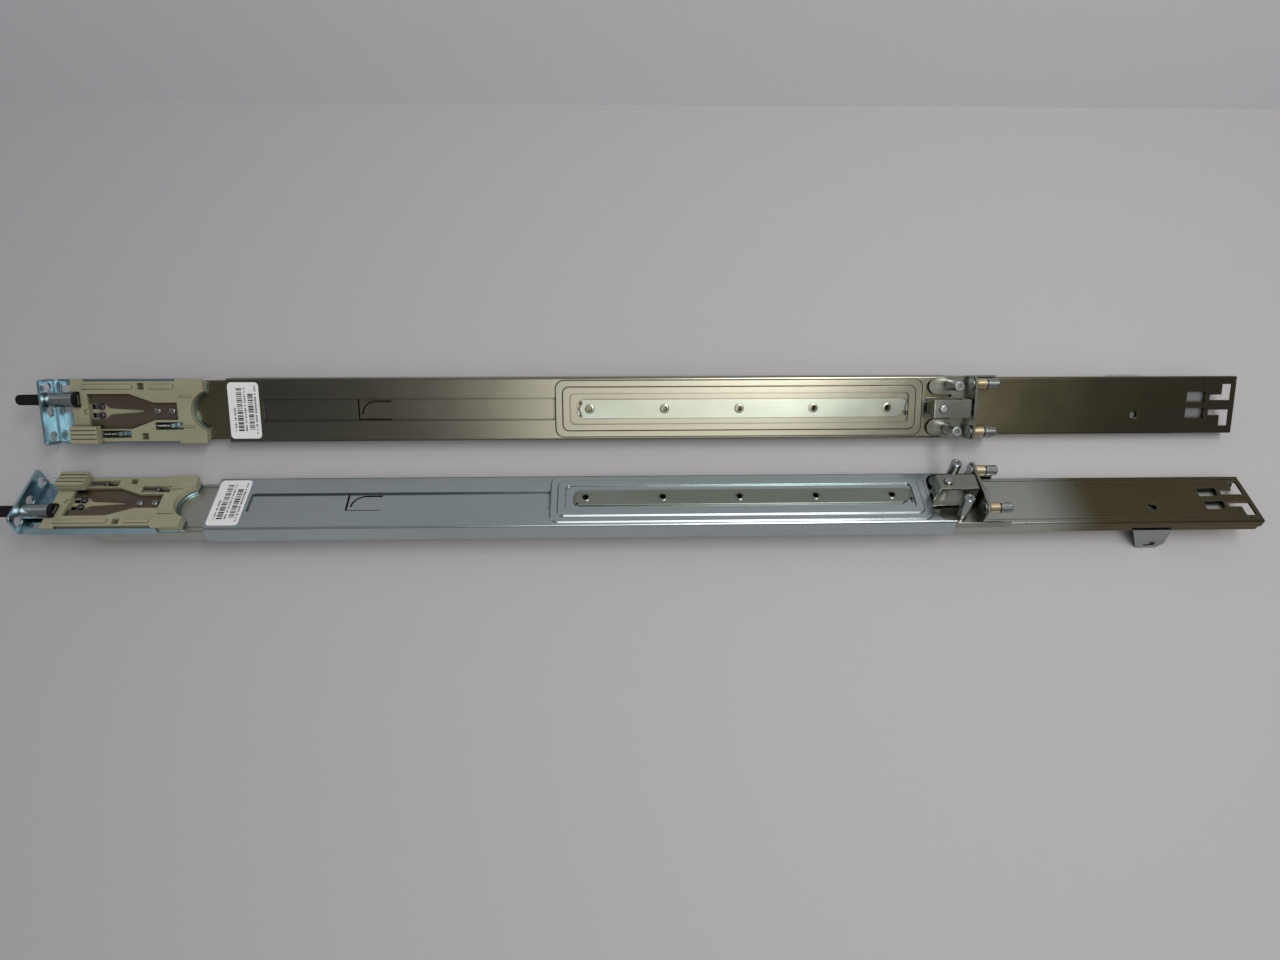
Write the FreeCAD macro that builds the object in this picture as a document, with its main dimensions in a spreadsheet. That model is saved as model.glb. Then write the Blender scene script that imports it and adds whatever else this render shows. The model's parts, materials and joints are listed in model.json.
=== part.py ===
# A pair of ball-bearing server rails, lying on a table with their outer faces up.
#
# Each rail is modelled flat in its own frame, in millimetres: X runs from the front of the
# rack to the rear, Y runs across the rail, and Z points out of its outer face, whose level
# is 0. The finished rail is then rolled about X onto its rest, which is one long flange edge
# and the tip of the tab under the other flange.
#
# The object's frame: +X to the rear, +Y from the right rail to the left one, +Z up, with the
# origin at the bottom centre of the pair.
import FreeCAD
import Part
import math
import os
import re

import Sketcher

SIZES = (
    # name, millimetres or a plain number, what it is
    ("rack_pitch", 15.875, "spacing of rack holes up a rack post"),
    ("slip", 0.3, "clearance beside and above parts that slide"),
    ("roll_degrees", 25.6, "how far each rail leans over on its rest"),
    ("rail_offset", 31.1, "from the middle plane of the pair to a rail's axis"),
    ("stagger", 1.3, "how far the left rail lies back and the right one forward"),

    ("channel_front", -342.0, "front end of the cabinet channel"),
    ("channel_rear", 407.0, "rear end of the cabinet channel"),
    ("channel_half", 19.5, "half width of the cabinet channel"),
    ("channel_wall", 1.6, "its side walls"),
    ("web_top", -4.3, "outer face of its web"),
    ("web_sheet", 1.5, "thickness of its web"),
    ("channel_bottom", -14.7, "lower edge of its flanges"),
    ("jog", 1.3, "how far the lower flange is set in"),
    ("jog_top", -10.0, "where the set-in starts"),
    ("channel_bend", 1.2, "outer bend radius of the channel"),
    ("crease_place", 16.2, "from the axis to each long crease"),
    ("crease_width", 0.9, "width of a crease"),
    ("crease_depth", 0.35, "depth of a crease"),
    ("arm_slot_front", 373.6, "front end of the square rear slots"),
    ("arm_slot_length", 13.5, "length of a square rear slot"),
    ("arm_slot_inner", 2.0, "from the axis to a square rear slot"),
    ("arm_slot_width", 7.0, "width of a square rear slot"),
    ("hook_slot_front", 389.3, "front end of the bent rear slots"),
    ("hook_slot_rear", 404.4, "rear end of the bent rear slots"),
    ("hook_slot_inner", 3.3, "from the axis to a bent slot"),
    ("hook_slot_width", 3.7, "width of the straight leg of a bent slot"),
    ("hook_leg", 6.8, "width of the cross leg of a bent slot"),
    ("hook_reach", 14.2, "from the axis to the end of the cross leg"),
    ("rear_hole_place", 337.8, "the single hole near the rear"),
    ("rear_hole_offset", 6.6, "its distance from the axis"),
    ("rear_hole_radius", 2.8, "its radius"),

    ("tab_centre", 336.5, "middle of the rest tab"),
    ("tab_length", 26.0, "length of the tab at its root"),
    ("tab_lean", 10.0, "how far the tab's front edge slants back"),
    ("tab_swell", 2.0, "how far its rear edge slants back"),
    ("tab_corner", 4.0, "how much its lower rear corner is cut off"),
    ("tab_hole_length", 8.0, "length of the hole in the tab"),
    ("tab_hole_height", 4.0, "height of that hole"),
    ("tab_sheet", 1.2, "thickness of the tab"),
    ("tab_lap", 1.7, "how far the tab lies on the channel's side, below the sleeve's lip"),

    ("sleeve_front", -271.6, "front end of the depth sleeve"),
    ("sleeve_rear", 202.6, "rear end of the sleeve's flanges"),
    ("sleeve_sheet", 1.2, "sheet of the sleeve"),
    ("sleeve_depth", 12.7, "from the sleeve's face to the bottom of its lips"),
    ("sleeve_lip", 1.3, "how far the lips reach in"),
    ("sleeve_bend", 1.6, "outer bend radius of the sleeve"),
    ("band_front", -249.0, "front end of the sunk band"),
    ("band_half", 7.5, "half width of the sunk band"),
    ("band_depth", 1.6, "depth of the sunk band"),
    ("window_front", -187.6, "front end of the lanced window"),
    ("window_rear", -165.4, "rear end of the lanced window"),
    ("window_half", 7.0, "half width of the window"),
    ("window_slit", 1.3, "slit round the lanced tab"),
    ("hook_radius", 8.0, "inner radius of the hook's slit"),

    ("stamp_front", -57.5, "front end of the stamped pad"),
    ("pad_gap", 1.4, "from the stamped pad to the rear opening"),
    ("stamp_half", 19.2, "half width of the stamped pad"),
    ("stamp_step", 1.0, "height of one step of the pad"),
    ("stamp_corner", 6.0, "corner radius of the pad's first step"),
    ("second_inset", 4.8, "second step's inset at the ends"),
    ("second_half", 14.9, "second step's half width"),
    ("second_corner", 4.6, "second step's corner radius"),
    ("third_inset", 9.8, "sunk floor's inset at the ends"),
    ("third_half", 10.4, "sunk floor's half width"),
    ("third_corner", 3.2, "sunk floor's corner radius"),
    ("stamp_slope", 0.8, "slope at each step's upper edge"),
    ("opening_room", 0.6, "from the rear opening to the bracket's middle tongue"),
    ("opening_corner", 9.0, "corner radius of the rear opening"),

    ("strip_front", -39.2, "front end of the nut strip"),
    ("strip_room", 0.7, "from the nut strip's tail to the pad's end wall"),
    ("strip_half", 6.0, "half width of the nut strip"),
    ("strip_sheet", 1.1, "thickness of the nut strip"),
    ("nut_first", -34.5, "first threaded hole"),
    ("nut_pitch", 49.7, "spacing of the threaded holes"),
    ("nut_count", 5, "how many threaded holes"),
    ("thread_radius", 2.1, "radius of a threaded hole"),
    ("collar_radius", 3.3, "drawn collar round a threaded hole"),
    ("collar_depth", 2.4, "how far a drawn collar reaches below the strip"),
    ("strip_end", 3.0, "length of the strip's front tongue"),
    ("strip_tail", 8.0, "length of the strip's stepped tail"),

    ("label_length", 37.0, "long side of the blank label"),
    ("label_width", 20.0, "short side of the label"),
    ("label_film", 0.2, "thickness of the label"),
    ("label_corner", 2.5, "corner radius of the label"),
    ("label_gap", 0.8, "from the sleeve's front end to the label"),

    ("plate_front", -385.0, "front face of the front plate"),
    ("plate_sheet", 1.5, "thickness of the front plate and its bracket"),
    ("plate_half", 21.1, "half width of the front plate"),
    ("plate_top", 10.7, "upper edge of the front plate"),
    ("plate_bottom", -6.6, "lower edge of the front plate"),
    ("plate_corner", 3.0, "corner of the front plate"),
    ("plate_hole_level", 3.0, "level of the rack holes in the plate"),
    ("rack_hole_radius", 3.5, "radius of the rack holes"),
    ("bracket_rear", -285.5, "rear end of the front bracket"),
    ("bracket_wall_rear", -300.0, "rear end of its side walls"),
    ("bracket_wall_top", 1.2, "upper edge of its side walls"),
    ("bracket_bend", 5.0, "the bracket's side walls start this far behind the plate"),
    ("scoop_centre", -280.8, "centre of the scooped rear edge"),
    ("scoop_radius", 13.6, "radius of the scooped rear edge of the housing"),
    ("scoop_lip", 1.1, "how far the steel shows inside the scoop"),
    ("rib_slot_front", -379.0, "front of the slots beside the bush"),
    ("rib_slot_rear", -371.0, "rear of the slots beside the bush"),
    ("rib_slot_width", 3.8, "width of the slots beside the bush"),
    ("joint_rivet_radius", 2.0, "rivets between bracket and channel"),
    ("joint_rivet_front", -330.0, "front pair of those rivets"),
    ("joint_rivet_rear", -291.5, "rear pair of those rivets"),
    ("joint_rivet_offset", 16.3, "their distance from the axis"),

    ("housing_front", -369.5, "front end of the latch housing"),
    ("housing_top", 2.6, "its upper face"),
    ("housing_floor", -0.4, "floor of its sunk bed"),
    ("housing_shoulder_front", -361.0, "where its sides step in behind the front"),
    ("housing_shoulder_rear", -303.0, "where its sides step out again"),
    ("grip_front", -370.0, "front end of the ribbed grip block"),
    ("grip_rear", -353.0, "rear end of the grip block"),
    ("grip_inner", 9.2, "from the axis to the grip block"),
    ("grip_outer", 20.4, "outer side of the grip block"),
    ("grip_top", 8.6, "top of the grip block"),
    ("grip_groove", 0.8, "width and depth of its grooves"),
    ("grip_pitch", 2.8, "spacing of its grooves"),
    ("clip_hole_place", -325.0, "middle of the square clip holes"),
    ("clip_hole_side", 4.2, "side of a clip hole"),
    ("clip_hole_depth", 4.6, "depth of a clip hole"),
    ("long_slot_front", -353.0, "front end of the long spring slot"),
    ("long_slot_length", 19.0, "its length"),
    ("long_slot_place", 14.8, "its distance from the axis"),
    ("short_slot_front", -318.0, "front end of the short spring slot"),
    ("short_slot_length", 18.0, "its length"),
    ("short_slot_place", 9.6, "its distance from the axis"),
    ("spring_slot_width", 5.0, "width of both slots"),
    ("dimple_radius", 1.8, "round dimples in the housing's front"),
    ("dimple_depth", 0.8, "their depth"),

    ("fork_front", -359.0, "front ends of the fork spring's arms"),
    ("fork_rear", -303.6, "rear end of the fork spring"),
    ("fork_sheet", 0.8, "thickness of the fork spring"),
    ("fork_half", 10.8, "half width over its arms"),
    ("fork_knee", -333.0, "where the arms start to draw in"),
    ("fork_waist", -317.5, "where the fork becomes a plain strap"),
    ("fork_tail_half", 5.0, "half width of that strap"),
    ("fork_mouth_half", 5.2, "half width of the fork's mouth"),
    ("fork_mouth_rear", -350.0, "rear of the wide mouth"),
    ("fork_slot_half", 2.2, "half width of the fork's slot"),
    ("fork_slot_rear", -325.5, "rear end of the fork's slot"),
    ("fork_room", 0.7, "room round the fork in its bed"),
    ("fork_rivet_first", -316.6, "front rivet of the fork"),
    ("fork_rivet_second", -307.2, "rear rivet of the fork"),
    ("fork_rivet_radius", 1.2, "shank of a fork rivet"),
    ("fork_rivet_head", 2.1, "head radius of a fork rivet"),
    ("fork_rivet_rise", 0.9, "height of a fork rivet's head"),

    ("strap_tip", -404.0, "free end of the pull strap"),
    ("strap_width", 6.7, "width of the pull strap"),
    ("strap_thick", 3.2, "thickness of the pull strap"),
    ("strap_level", 2.9, "level of the strap's axis"),
    ("strap_rod_radius", 1.9, "round shank of the strap"),
    ("strap_gap", 1.0, "from the strap's shoulder to the plate"),
    ("rod_play", 0.2, "play of the shank in its bush"),
    ("bush_radius", 4.75, "outer radius of the strap's bush"),
    ("bush_rear", -364.5, "rear end of the bush"),
    ("hood_front", -371.6, "where the bush widens into a hood over the latch slide's upright"),
    ("hood_radius", 3.9, "inner radius of the hood"),
    ("bush_spigot", 3.2, "radius of the bush's spigot in the plate"),

    ("slide_sheet", 1.0, "thickness of the latch slide"),
    ("slide_gap", 0.2, "gap over and under the latch slide"),
    ("slide_upright", -366.0, "front face of its upright"),
    ("slide_upright_sheet", 1.5, "thickness of that upright"),
    ("slide_upright_half", 3.0, "half width of that upright"),
    ("slide_cross_front", -356.0, "front of its cross part"),
    ("slide_cross_rear", -345.5, "rear of its cross part"),
    ("slide_rear", -307.5, "rear end of the latch slide"),
    ("latch_travel", 5.0, "how far the strap pulls"),
    ("lug_sheet", 1.5, "thickness of the lugs that press the springs"),
    ("lug_half", 1.3, "half width of a lug"),
    ("lug_top", 1.8, "top of a lug"),
    ("long_lug", -343.0, "front face of the long slot's lug"),
    ("short_lug", -309.0, "front face of the short slot's lug"),
    ("spring_radius", 1.6, "outer radius of the coil springs"),
    ("spring_wire", 0.5, "their wire"),
    ("pin_place", -352.5, "the two latch pins"),
    ("pin_high", 3.0, "one pin's distance from the axis"),
    ("pin_low", -2.6, "the other pin's distance from the axis"),
    ("pin_radius", 1.3, "shank of a latch pin"),
    ("pin_head", 1.9, "head radius of a latch pin"),
    ("pin_head_low", -0.1, "underside of a latch pin's head"),
    ("pin_head_top", 1.5, "top of a latch pin's head"),

    ("rear_sheet", 1.2, "sheet of the rear bracket"),
    ("lobe_length", 25.7, "length of its two lobes, from the rear plate"),
    ("lobe_inner", 8.4, "inner side of a lobe"),
    ("lobe_corner", 5.5, "corner radius of a lobe"),
    ("tongue_lead", 0.4, "how far its middle tongue lies before the bridge's foot"),
    ("base_tongue_half", 6.4, "half width of the middle tongue"),
    ("cross_length", 10.2, "length of the part that joins the lobes, from the rear plate"),
    ("plate_setback", 16.6, "from the sleeve's rear end to the rear plate"),
    ("rear_plate_sheet", 1.6, "thickness of the rear plate"),
    ("rear_plate_top", 12.6, "top of the rear plate"),
    ("rear_plate_corner", 2.5, "corner of the rear plate"),
    ("ear_length", 19.3, "length of the side ears, from the rear plate"),
    ("ear_bottom", -6.4, "lower edge of the side ears"),
    ("bridge_half", 5.9, "half width of the raised bridge"),
    ("bridge_top", 15.0, "top of the bridge"),
    ("bridge_length", 28.0, "from the front of the bridge to the rear plate"),
    ("bridge_gap", 2.5, "from the bridge's rear leg to the rear plate"),
    ("bridge_foot_half", 3.0, "half width of the front leg's foot"),
    ("bridge_sheet", 1.2, "sheet of the bridge"),
    ("bridge_rivet_inset", 6.6, "from the bridge's front to its rivet"),
    ("bridge_rivet_radius", 1.6, "its shank"),
    ("bridge_rivet_head", 2.8, "its head"),
    ("bridge_rivet_rise", 1.5, "height of its head"),
    ("tail_half", 2.4, "half width of the bridge's tail in the rear plate"),
    ("tail_level", 9.2, "top of that tail"),
    ("tail_reach", 2.8, "how far it stands behind the plate"),
    ("pin_level", 7.6, "level of the rack pins"),
    ("rack_pin_radius", 3.4, "radius of the rack pins' tips"),
    ("rack_pin_shank", 2.6, "radius of their shanks"),
    ("rack_pin_reach", 15.6, "length of the rack pins behind the plate"),
    ("collar_length", 7.0, "length of the gold collars"),
    ("collar_outer", 3.5, "their outer radius"),
    ("collar_play", 0.05, "play of a collar on its shank"),
    ("collar_groove", 1.0, "gap between collar and tip"),
    ("flute_radius", 0.35, "flutes in a pin's tip"),
    ("flute_count", 6, "how many flutes"),
    ("pin_rear_head", 4.2, "riveted head before the plate"),
    ("pin_rear_rise", 1.0, "height of that head"),
    ("pin_nose", 0.8, "chamfer at the tip"),
    ("post_setback", 12.2, "from the two tall posts to the rear plate"),
    ("post_offset", 14.85, "their distance from the axis"),
    ("post_radius", 3.4, "their radius"),
    ("post_top", 16.8, "their top"),
    ("post_dimple", 1.5, "radius of the dimple in a post's top"),
    ("post_dimple_depth", 0.8, "depth of that dimple"),
    ("post_edge", 0.5, "chamfer of a post's top"),

    ("middle_front", -340.0, "front end of the intermediate channel"),
    ("middle_rear", 392.0, "its rear end"),
    ("middle_top", -7.2, "outer face of its web"),
    ("middle_wall", 1.4, "its sheet"),
    ("middle_half", 14.9, "its half width"),
    ("middle_bottom", -14.4, "lower edge of its flanges"),
    ("middle_lip", 1.0, "how far its lips turn out"),
    ("inner_front", -338.0, "front end of the inner channel"),
    ("inner_rear", 383.0, "its rear end"),
    ("inner_top", -9.9, "outer face of its web"),
    ("inner_wall", 1.3, "its sheet"),
    ("inner_half", 11.1, "its half width"),
    ("inner_bottom", -14.4, "lower edge of its flanges"),
    ("slide_bend", 0.8, "outer bend radius of both sliding channels"),
    ("key_first", -300.0, "first keyhole of the inner channel"),
    ("key_pitch", 205.0, "spacing of the keyholes"),
    ("key_count", 4, "how many keyholes"),
    ("key_radius", 4.3, "entry of a keyhole"),
    ("key_slot_half", 2.1, "half width of its slot"),
    ("key_slot_length", 11.0, "from the entry's centre to the slot's end"),

    ("outer_ball_radius", 1.6, "balls beside the intermediate channel"),
    ("outer_ball_place", 16.4, "their distance from the axis"),
    ("outer_ball_level", -8.6, "their level"),
    ("inner_ball_radius", 1.2, "balls beside the inner channel"),
    ("inner_ball_place", 12.3, "their distance from the axis"),
    ("inner_ball_level", -12.0, "their level"),
    ("race_play", 0.1, "room between a ball and its race"),
    ("lip_thinning", 0.1, "how much thinner than its sheet the sleeve's lip is"),
    ("slide_foot", 6.0, "length of the latch slide's wider foot behind its cross bar"),
    ("fork_mouth_taper", 3.0, "length over which the fork's mouth narrows to its slot"),
    ("cage_hole_play", 0.15, "room between a ball and its cage"),
    ("cage_front", -145.0, "front end of both ball cages"),
    ("cage_rear", 195.0, "their rear end"),
    ("ball_pitch", 29.0, "spacing of the balls"),
    ("ball_count", 12, "balls in one row"),
    ("outer_cage_top", -6.1, "top of the outer cage"),
    ("outer_cage_sheet", 0.8, "sheet of the outer cage"),
    ("outer_cage_bottom", -10.6, "lower edge of its arms"),
    ("inner_cage_top", -8.8, "top of the inner cage"),
    ("inner_cage_sheet", 0.6, "sheet of the inner cage"),
    ("inner_cage_bottom", -13.6, "lower edge of its arms"),

    ("stop_length", 7.0, "length of the rear stop block"),
    ("stop_gap", 1.5, "from the inner channel's end to the stop block"),
    ("stop_bottom", -13.8, "its lower face"),

    ("lever_pivot", -236.0, "pivot of the release lever"),
    ("lever_nose", -262.0, "front end of the lever"),
    ("lever_tail", -196.0, "rear end of the lever"),
    ("lever_half", 3.4, "half width of the lever"),
    ("lever_thick", 1.6, "thickness of the lever"),
    ("lever_gap", 0.3, "gap between the lever and the web"),
    ("lever_boss", 4.4, "radius of the lever's boss"),
    ("lever_pin_radius", 1.5, "shank of the lever's pivot"),
    ("lever_pin_head", 2.8, "head of the lever's pivot"),
    ("lever_pin_rise", 0.8, "thickness of that head"),
    ("lever_play", 0.05, "play of the lever on its pivot"),
)

REAR_PLATE = "(sleeve_rear + plate_setback)"
REAR_FACE = f"({REAR_PLATE} + rear_plate_sheet)"
BRIDGE_FRONT = f"({REAR_PLATE} - bridge_length)"
TONGUE_FRONT = f"({BRIDGE_FRONT} - tongue_lead)"
OPENING_FRONT = f"({TONGUE_FRONT} - opening_room)"
STAMP_REAR = f"({OPENING_FRONT} - pad_gap)"
STRIP_REAR = f"({STAMP_REAR} - third_inset - strip_room - strip_tail)"
BRIDGE_RIVET = f"({BRIDGE_FRONT} + bridge_rivet_inset)"
POST_PLACE = f"({REAR_PLATE} - post_setback)"

doc = FreeCAD.newDocument("server_rail_pair")
sheet = doc.addObject("Spreadsheet::Sheet", "Sizes")
for row, (name, value, meaning) in enumerate(SIZES, start=1):
    sheet.set(f"A{row}", name)
    sheet.set(f"B{row}", str(value))
    sheet.set(f"C{row}", meaning)
    sheet.setAlias(f"B{row}", name)
doc.recompute()


def value_of(text):
    """The number that an expression over the sheet's names gives."""
    return float(sheet.evalExpression(text))


def bind(owner, property_name, text):
    """Tie a property to an expression over the sheet's names."""
    owner.setExpression(property_name, re.sub(r"[a-z]\w*", r"Sizes.\g<0>", text))


# ---------------------------------------------------------------- sketches

FLAT = "XY_Plane"      # sketch x, y are the rail's X, Y
SECTION = "YZ_Plane"   # sketch x, y are the rail's Y, Z
SIDE = "XZ_Plane"      # sketch x, y are the rail's X, Z


def new_sketch(body, plane, level="0"):
    """An empty sketch on one of the body's own planes, lifted to a level along its normal."""
    base = next(item for item in body.Origin.OriginFeatures if item.Role == plane)
    sketch = body.newObject("Sketcher::SketchObject", "Sketch")
    sketch.AttachmentSupport = [(base, "")]
    sketch.MapMode = "FlatFace"
    bind(sketch, ".AttachmentOffset.Base.z", level)
    return sketch


def place_point(sketch, line, end, across, up):
    """Hold one point of the sketch at two expressions measured from its origin."""
    for kind, text, axis in (("DistanceX", across, -2), ("DistanceY", up, -1)):
        length = value_of(text)
        if abs(length) < 1e-9:
            sketch.addConstraint(Sketcher.Constraint("PointOnObject", line, end, axis))
            continue
        if length > 0:
            held = Sketcher.Constraint(kind, -1, 1, line, end, length)
        else:
            held = Sketcher.Constraint(kind, line, end, -1, 1, -length)
            text = f"-({text})"
        bind(sketch, f"Constraints[{sketch.addConstraint(held)}]", text)


def add_outline(sketch, points):
    """A closed outline of straight lines through points given as pairs of expressions."""
    spots = [FreeCAD.Vector(value_of(x), value_of(y), 0) for x, y in points]
    first = sketch.GeometryCount
    count = len(points)
    for index in range(count):
        sketch.addGeometry(Part.LineSegment(spots[index], spots[(index + 1) % count]), False)
    for index in range(count):
        following = first + (index + 1) % count
        sketch.addConstraint(Sketcher.Constraint("Coincident", first + index, 2, following, 1))
    for index, (x, y) in enumerate(points):
        place_point(sketch, first + index, 1, x, y)


def add_box(sketch, x_low, x_high, y_low, y_high):
    """A rectangle between four expressions."""
    add_outline(sketch, ((x_low, y_low), (x_high, y_low), (x_high, y_high), (x_low, y_high)))


def add_circle(sketch, x, y, radius):
    """A circle at a pair of expressions."""
    centre = FreeCAD.Vector(value_of(x), value_of(y), 0)
    made = sketch.addGeometry(Part.Circle(centre, FreeCAD.Vector(0, 0, 1), value_of(radius)), False)
    place_point(sketch, made, 3, x, y)
    held = sketch.addConstraint(Sketcher.Constraint("Radius", made, value_of(radius)))
    bind(sketch, f"Constraints[{held}]", radius)


def add_quarter_ring(sketch, x, y, inner, outer, turn):
    """A quarter of a ring about a point, from 90 to 180 degrees, or mirrored where turn is -1."""
    centre = FreeCAD.Vector(value_of(x), value_of(y), 0)
    start, end = (math.pi / 2, math.pi) if turn > 0 else (math.pi, 3 * math.pi / 2)
    arcs = []
    for radius in (inner, outer):
        circle = Part.Circle(centre, FreeCAD.Vector(0, 0, 1), value_of(radius))
        arc = sketch.addGeometry(Part.ArcOfCircle(circle, start, end), False)
        place_point(sketch, arc, 3, x, y)
        held = sketch.addConstraint(Sketcher.Constraint("Radius", arc, value_of(radius)))
        bind(sketch, f"Constraints[{held}]", radius)
        arcs.append((arc, sketch.Geometry[arc]))
    for end_number in (1, 2):
        ends = [geometry.StartPoint if end_number == 1 else geometry.EndPoint
                for _, geometry in arcs]
        line = sketch.addGeometry(Part.LineSegment(ends[0], ends[1]), False)
        for corner, (arc, _) in enumerate(arcs, start=1):
            sketch.addConstraint(Sketcher.Constraint("Coincident", line, corner, arc, end_number))
        level = (end_number == 2) if turn > 0 else (end_number == 1)
        sketch.addConstraint(Sketcher.Constraint("Horizontal" if level else "Vertical", line))
        if level:
            sketch.addConstraint(Sketcher.Constraint("PointOnObject", arcs[0][0], 3, line))
        else:
            sketch.addConstraint(Sketcher.Constraint("PointOnObject", arcs[0][0], 3, line))


# ---------------------------------------------------------------- features

def pad(body, sketch, height):
    """Add material from the sketch's level along its normal."""
    feature = body.newObject("PartDesign::Pad", "Pad")
    feature.Profile = sketch
    bind(feature, "Length", height)
    doc.recompute()
    return feature


def pocket(body, sketch, depth):
    """Take material away from the sketch's level against its normal."""
    before = body.Shape.Volume
    feature = body.newObject("PartDesign::Pocket", "Pocket")
    feature.Profile = sketch
    bind(feature, "Length", depth)
    doc.recompute()
    if not body.Shape.Volume < before - 1e-6:
        raise RuntimeError(f"a pocket of {body.Label} cuts nothing")
    return feature


def edges_where(body, test):
    """Names of the edges of the body so far whose bounding box passes a test."""
    return [f"Edge{number}" for number, edge in enumerate(body.Shape.Edges, start=1)
            if test(edge.BoundBox)]


def dress(body, kind, edges, size):
    """A fillet or a chamfer of one size on named edges."""
    if not edges:
        raise RuntimeError(f"no edges of {body.Label} to dress")
    shaped = body.Tip
    feature = body.newObject("PartDesign::" + kind, kind)
    feature.Base = (shaped, edges)
    bind(feature, "Radius" if kind == "Fillet" else "Size", size)
    doc.recompute()


def near(a, b):
    return abs(a - b) < 1e-4


def long_edges(box):
    """Edges that run the whole way along the rail."""
    return box.XLength > 10 and box.YLength < 1e-4 and box.ZLength < 1e-4


def upright_edges(box):
    """Edges that stand square to the rail's face."""
    return box.XLength < 1e-4 and box.YLength < 1e-4


class Rail:
    """One rail of the pair: hand is 1 for the left rail and -1 for the right one."""

    def __init__(self, name, hand):
        self.name = name
        self.hand = hand
        self.parts = []

    def side(self, text):
        """The same expression, on the other side of the axis in the right rail."""
        return text if self.hand > 0 else f"-({text})"

    def body(self, label):
        """A new, empty body of this rail."""
        body = doc.addObject("PartDesign::Body", f"{self.name}_{label}")
        body.Label = f"{self.name}_{label}"
        body.AllowCompound = True
        self.parts.append(body)
        return body

    def handed_box(self, sketch, x_low, x_high, y_low, y_high):
        add_box(sketch, x_low, x_high, self.side(y_low), self.side(y_high))

    def handed_box_across(self, sketch, y_low, y_high, z_low, z_high):
        """A handed box in a section across the rail."""
        add_box(sketch, self.side(y_low), self.side(y_high), z_low, z_high)

    def handed_outline(self, sketch, points):
        add_outline(sketch, [(x, self.side(y)) for x, y in points])


def slab(body, level, height, draw):
    """A pad on the flat plane from a level up; draw fills its sketch."""
    sketch = new_sketch(body, FLAT, level)
    draw(sketch)
    return pad(body, sketch, height)


def cut_down(body, level, depth, draw):
    """A pocket on the flat plane from a level down; draw fills its sketch."""
    sketch = new_sketch(body, FLAT, level)
    draw(sketch)
    return pocket(body, sketch, depth)


def extrusion(body, x_low, x_high, draw):
    """A pad along X between two places; draw fills its section."""
    sketch = new_sketch(body, SECTION, x_low)
    draw(sketch)
    return pad(body, sketch, f"{x_high} - ({x_low})")


def groove_along(body, x_low, x_high, draw):
    """A pocket along X between two places; draw fills its section."""
    sketch = new_sketch(body, SECTION, x_high)
    draw(sketch)
    return pocket(body, sketch, f"{x_high} - ({x_low})")


def rounded_step(body, level, height, ends, half, corner, cutting=False):
    """A stamped step: a pad or a pocket with rounded corners in plan."""
    sketch = new_sketch(body, FLAT, f"{level} + {height}" if cutting else level)
    add_rounded_box(sketch, ends[0], ends[1], half, corner)
    return (pocket if cutting else pad)(body, sketch, height)


def add_rounded_box(sketch, x_low, x_high, half, corner):
    """A rectangle astride the axis with its four corners rounded."""
    add_box(sketch, x_low, x_high, f"-({half})", half)
    first = sketch.GeometryCount - 4
    for start in (0, 1, 2, 3):
        line = first + start
        before = first + (start + 3) % 4
        sketch.fillet(before, line, *corner_points(sketch, before, line), value_of(corner), True, True)
        arc = max(number for number, item in enumerate(sketch.Geometry)
                  if isinstance(item, Part.ArcOfCircle))
        held = sketch.addConstraint(Sketcher.Constraint("Radius", arc, value_of(corner)))
        bind(sketch, f"Constraints[{held}]", corner)


def corner_points(sketch, before, line):
    """A point on each of two lines near their shared corner."""
    one = sketch.Geometry[before]
    two = sketch.Geometry[line]
    step_back = (one.StartPoint - one.EndPoint).normalize()
    step_on = (two.EndPoint - two.StartPoint).normalize()
    return one.EndPoint + step_back, two.StartPoint + step_on


# ---------------------------------------------------------------- channels

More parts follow.
